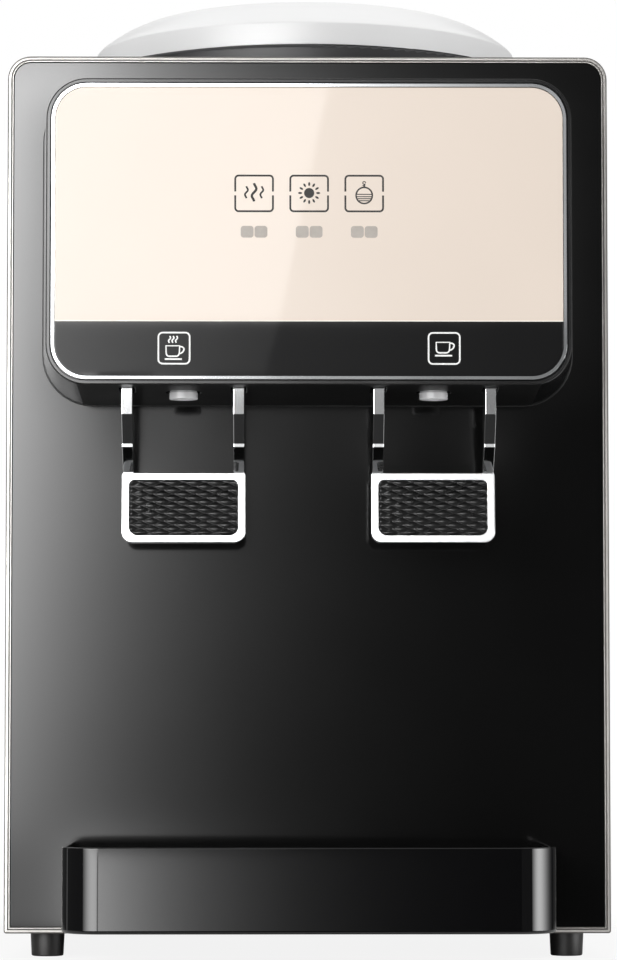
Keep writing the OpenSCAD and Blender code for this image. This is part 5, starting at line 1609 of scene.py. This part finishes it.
@dataclass
class Softboxes:
    """The cards that the glossy front mirrors, in metres: dark flags, and the softboxes before them."""

    # Dark flags: the place of each along its normal, and its low and high corners
    front_flag_y: float = -3.0
    front_flag: tuple[Point, Point] = ((-4.0, -2.0), (4.0, 4.0))
    side_flag_x: float = 3.6
    side_flag: tuple[Point, Point] = ((-3.1, -2.0), (1.3, 3.0))
    back_flag_y: float = 2.0
    back_flag: tuple[Point, Point] = ((0.45, -0.5), (4.5, 2.0))
    flag_glow: float = 0.08
    floor_flag_z: float = 0.002
    floor_flag: tuple[Point, Point] = ((-0.16, -0.3), (0.16, -0.185))
    floor_glow: float = 0.03
    tray_flag_z: float = 0.0527
    tray_flag: tuple[Point, Point] = ((-0.1, -0.127), (0.1, -0.106))
    tray_flag_glow: float = 0.003
    # Softboxes at the right and above
    strip_x: float = 2.5
    strip: tuple[Point, Point] = ((-2.98, -0.6), (1.6, 0.5))
    over: tuple[Point, Point] = ((-1.37, 0.94), (1.43, 2.3))
    over_glow: float = 0.3
    card_y: float = -2.9
    # Edges of the softboxes as the front mirrors them, from the left and from the floor
    far_x: float = -3.37
    corner_x: float = -0.47
    window_x: tuple[float, float] = (-0.283, 0.343)
    tray_x: float = -0.262
    near_x: float = 0.48
    low_z: float = -0.7
    tray_z: float = -0.035
    head_z: float = 0.504
    strip_z: float = 0.5805
    window_z: float = 0.864
    panel_z: float = 0.94
    tray_left_glow: float = 2.2
    # Light of each softbox that isn't even, and of the window's left and right ones
    side_light: Glow = BandGlow(9.3, middle=-1.4, spread=1.16)
    corner_light: Glow = BandGlow(8.2, middle=-1.1, spread=1.6, facing=Facing.ACROSS)
    tray_light: Glow = FadingGlow(4.9, start=-0.208, length=0.084)
    panel_light: Glow = FadingGlow(3.18, start=-0.29, length=0.1036, most=1.8, rise=9.35)
    top_light: Glow = FadingGlow(19.0, start=-0.255, length=0.105, most=1.0)
    strip_lights: tuple[Glow, Glow] = (
        FadingGlow(2.7, start=-0.263, length=0.22), FadingGlow(0.55, start=-0.02, length=0.45))
    window_lights: tuple[Glow, Glow] = (
        FadingGlow(6.0, start=-0.27, length=1.2), FadingGlow(2.5, start=0.01, length=0.2))
    # Where the window's two tones of light meet, and how far that line leans for its height
    sheen_x: float = -0.022
    sheen_lean: float = 0.212
    # Middle and level of the light that each arm of the levers mirrors
    arms: Points = ((-0.186, 0.78), (-0.053, 0.3), (0.113, 0.34), (0.246, 0.24))
    arm_half: float = 0.034
    arm_z: tuple[float, float] = (0.45, 0.503)
    step_half: float = 0.02
    step_z: float = 0.424
    step_glow: float = 1.15
    arm_ahead: float = 0.01

    def build(self) -> None:
        """Stands all the cards."""
        for card in (*self.flags(), *self.body_cards(), *self.window_cards(), *self.arm_cards()):
            card.build()

    def flags(self) -> list[Card]:
        """Lists the dark cards round the object, on the floor before it and over the tray.

        Returns:
            The cards.
        """
        dark, across, along, level = Glow(self.flag_glow), Facing.ACROSS, Facing.ALONG, Facing.LEVEL
        (inner, low), (outer, high) = self.back_flag
        return [
            Card("front_flag", across, self.front_flag_y, *self.front_flag, dark),
            Card("left_flag", along, -self.side_flag_x, *self.side_flag, dark),
            Card("right_flag", along, self.side_flag_x, *self.side_flag, dark),
            Card("back_left_flag", across, self.back_flag_y, (-outer, low), (-inner, high), dark),
            Card("back_right_flag", across, self.back_flag_y, (inner, low), (outer, high), dark),
            Card("floor_flag", level, self.floor_flag_z, *self.floor_flag, Glow(self.floor_glow)),
            Card("tray_flag", level, self.tray_flag_z, *self.tray_flag, Glow(self.tray_flag_glow))]

    def body_cards(self) -> list[Card]:
        """Lists the softboxes that the tray, the panel and the top mirror.

        Returns:
            The cards.
        """
        across, y, far, near = Facing.ACROSS, self.card_y, self.far_x, self.near_x
        panel = self.panel_light
        return [
            Card("right_strip", Facing.ALONG, self.strip_x, *self.strip, self.side_light),
            Card("tray_corner", across, y, (far, self.low_z), (self.corner_x, self.tray_z),
                 self.corner_light),
            Card("tray_left", across, y, (self.corner_x, self.low_z), (self.tray_x, self.tray_z),
                 Glow(self.tray_left_glow)),
            Card("tray_front", across, y, (self.tray_x, self.low_z), (near, self.tray_z), self.tray_light),
            Card("panel_low", across, y, (far, self.tray_z), (near, self.head_z), panel),
            Card("panel_left", across, y, (far, self.head_z), (self.window_x[0], self.window_z), panel),
            Card("panel_top", across, y, (far, self.window_z), (near, self.panel_z), self.top_light),
            Card("over_softbox", across, y, *self.over, Glow(self.over_glow))]

    def window_cards(self) -> list[Card]:
        """Lists the softboxes that the window mirrors, whose lights meet in a leaning line.

        Returns:
            The cards.
        """
        across, y = Facing.ACROSS, self.card_y
        left, right = self.window_x
        strip_lean = self.sheen_lean * (self.strip_z - self.head_z)
        window_lean = self.sheen_lean * (self.window_z - self.strip_z)
        low_x, high_x = self.sheen_x, self.sheen_x + strip_lean
        (low_left, low_right), (high_left, high_right) = self.strip_lights, self.window_lights
        return [
            Card("strip_left", across, y, (left, self.head_z), (low_x, self.strip_z), low_left,
                 lean_right=strip_lean),
            Card("strip_right", across, y, (low_x, self.head_z), (right, self.strip_z), low_right,
                 lean_left=strip_lean),
            Card("window_left", across, y, (left, self.strip_z), (high_x, self.window_z), high_left,
                 lean_right=window_lean),
            Card("window_right", across, y, (high_x, self.strip_z), (right, self.window_z), high_right,
                 lean_left=window_lean)]

    def arm_cards(self) -> list[Card]:
        """Lists the small softboxes that the levers' arms and the steps in them mirror.

        Returns:
            The cards.
        """
        across, y = Facing.ACROSS, self.card_y + self.arm_ahead
        low, high = self.arm_z
        arm, step, made = self.arm_half, self.step_half, []
        for k, (x, level) in enumerate(self.arms):
            made.append(Card(f"arm_card_{k}", across, y, (x - arm, low), (x + arm, high), Glow(level)))
            made.append(Card(f"step_card_{k}", across, y, (x - step, self.step_z), (x + step, low),
                             Glow(self.step_glow)))
        return made


@dataclass(frozen=True)
class Lamp:
    """A square lamp, which lights the object and isn't mirrored."""

    name: str
    at: tuple[float, float, float]
    size: float
    share: float

    def build(self, power: float, aim: tuple[float, float, float]) -> None:
        """Hangs the lamp.

        Args:
            power: the key lamp's power.
            aim: the place that the lamp points at.
        """
        data = bpy.data.lights.new(self.name, "AREA")
        data.energy = self.share * power
        data.size = self.size
        held = bpy.data.objects.new(self.name, data)
        held.location = self.at
        held.rotation_euler = (Vector(aim) - Vector(self.at)).to_track_quat("-Z", "Y").to_euler()
        held.visible_glossy = False
        bpy.context.scene.collection.objects.link(held)


@dataclass
class Studio:
    """The camera, the pale floor and the soft light."""

    camera_at: tuple[float, float, float] = (-0.018, -1.7925, 0.1063)
    tilt: float = 93.74
    turn: float = -0.62
    lens: float = 139.5
    sensor: float = 36.0
    sky: float = 0.75
    key_power: float = 22.0
    lamps: tuple[Lamp, ...] = (
        Lamp("key", (-1.35, -2.0, 1.15), 1.1, 1.0), Lamp("over", (0.3, -0.2, 2.2), 1.2, 0.04),
        Lamp("fill", (1.5, 0.1, 0.9), 0.8, 0.3))
    aim: tuple[float, float, float] = (0.0, -0.05, 0.22)
    floor_r: float = 0.36
    floor_fade: tuple[float, float] = (0.55, 0.98)
    floor_lift: float = 0.88
    floor_colour: str = "#f2f2f1"

    def build(self) -> None:
        """Sets up the camera, the world, the floor, the lamps and the cards."""
        self.camera()
        self.world()
        self.floor()
        for lamp in self.lamps:
            lamp.build(self.key_power, self.aim)
        Softboxes().build()
        bpy.context.scene.view_settings.view_transform = "Standard"

    def camera(self) -> None:
        """Puts the camera where the photograph was taken from."""
        data = bpy.data.cameras.new("photo_camera")
        data.lens = self.lens
        data.sensor_width = self.sensor
        held = bpy.data.objects.new("photo_camera", data)
        held.location = self.camera_at
        held.rotation_euler = (math.radians(self.tilt), 0.0, math.radians(self.turn))
        bpy.context.scene.collection.objects.link(held)
        bpy.context.scene.camera = held

    def world(self) -> None:
        """Makes a white world for what is seen and mirrored, and a softer one for the light."""
        made = bpy.data.worlds.new("studio")
        tree = fresh_nodes(made)
        path = add_node(tree, "ShaderNodeLightPath")
        seen = add_node(tree, "ShaderNodeMath", {"operation": "MAXIMUM"},
                        {0: path.outputs["Is Camera Ray"], 1: path.outputs["Is Glossy Ray"]})
        shown = add_node(tree, "ShaderNodeMath", {"operation": "MAXIMUM"},
                         {0: seen.outputs[0], 1: path.outputs["Is Transmission Ray"]})
        white = add_node(tree, "ShaderNodeBackground", {"Color": (1, 1, 1, 1), "Strength": 1.0})
        soft = add_node(tree, "ShaderNodeBackground", {"Color": (1, 1, 1, 1), "Strength": self.sky})
        backgrounds = {1: soft.outputs["Background"], 2: white.outputs["Background"]}
        mixed = add_node(tree, "ShaderNodeMixShader", links={0: shown.outputs[0], **backgrounds})
        add_node(tree, "ShaderNodeOutputWorld", links={"Surface": mixed.outputs["Shader"]})
        bpy.context.scene.world = made

    def floor(self) -> None:
        """Makes a pale round floor that keeps the object's shadow and fades out at its rim."""
        made = bpy.data.materials.new("pale_floor")
        tree = fresh_nodes(made)
        place = add_node(tree, "ShaderNodeTexCoord").outputs["Object"]
        away = add_node(tree, "ShaderNodeVectorMath", {"operation": "LENGTH"}, {0: place})
        inner, outer = (share * self.floor_r for share in self.floor_fade)
        fade = add_node(tree, "ShaderNodeMapRange", {"From Min": inner, "From Max": outer},
                        {"Value": away.outputs["Value"]})
        path = add_node(tree, "ShaderNodeLightPath")
        lifted = add_node(tree, "ShaderNodeMath", {"operation": "MULTIPLY", 1: self.floor_lift},
                          {0: path.outputs["Is Camera Ray"]})
        matt = add_node(tree, "ShaderNodeBsdfDiffuse", {"Color": linear(self.floor_colour)})
        lit = add_node(tree, "ShaderNodeEmission", {"Strength": 1.0})
        pale = add_node(tree, "ShaderNodeMixShader",
                        links={0: lifted.outputs[0], 1: matt.outputs["BSDF"], 2: lit.outputs["Emission"]})
        clear = add_node(tree, "ShaderNodeBsdfTransparent")
        skins = {1: pale.outputs["Shader"], 2: clear.outputs["BSDF"]}
        faded = add_node(tree, "ShaderNodeMixShader", links={0: fade.outputs["Result"], **skins})
        add_node(tree, "ShaderNodeOutputMaterial", links={"Surface": faded.outputs["Shader"]})
        bm = bmesh.new()
        bmesh.ops.create_circle(bm, cap_ends=True, segments=96, radius=self.floor_r)
        link_mesh("pale_floor", bm, [made])


def main() -> None:
    """Builds the object and its studio."""
    logging.basicConfig(level=logging.INFO, format="%(message)s")
    Studio().build()
    assemblies = [FrontFrame(), Head(), WindowPrint(), TapSet(Tap.HOT), TapSet(Tap.COLD), DripTray(),
                  BottleSeat(), Casing(), RearFittings(), Inside()]
    for assembly in assemblies:
        log.info("building %s", type(assembly).__name__)
        assembly.build()


if __name__ == "__main__":
    main()
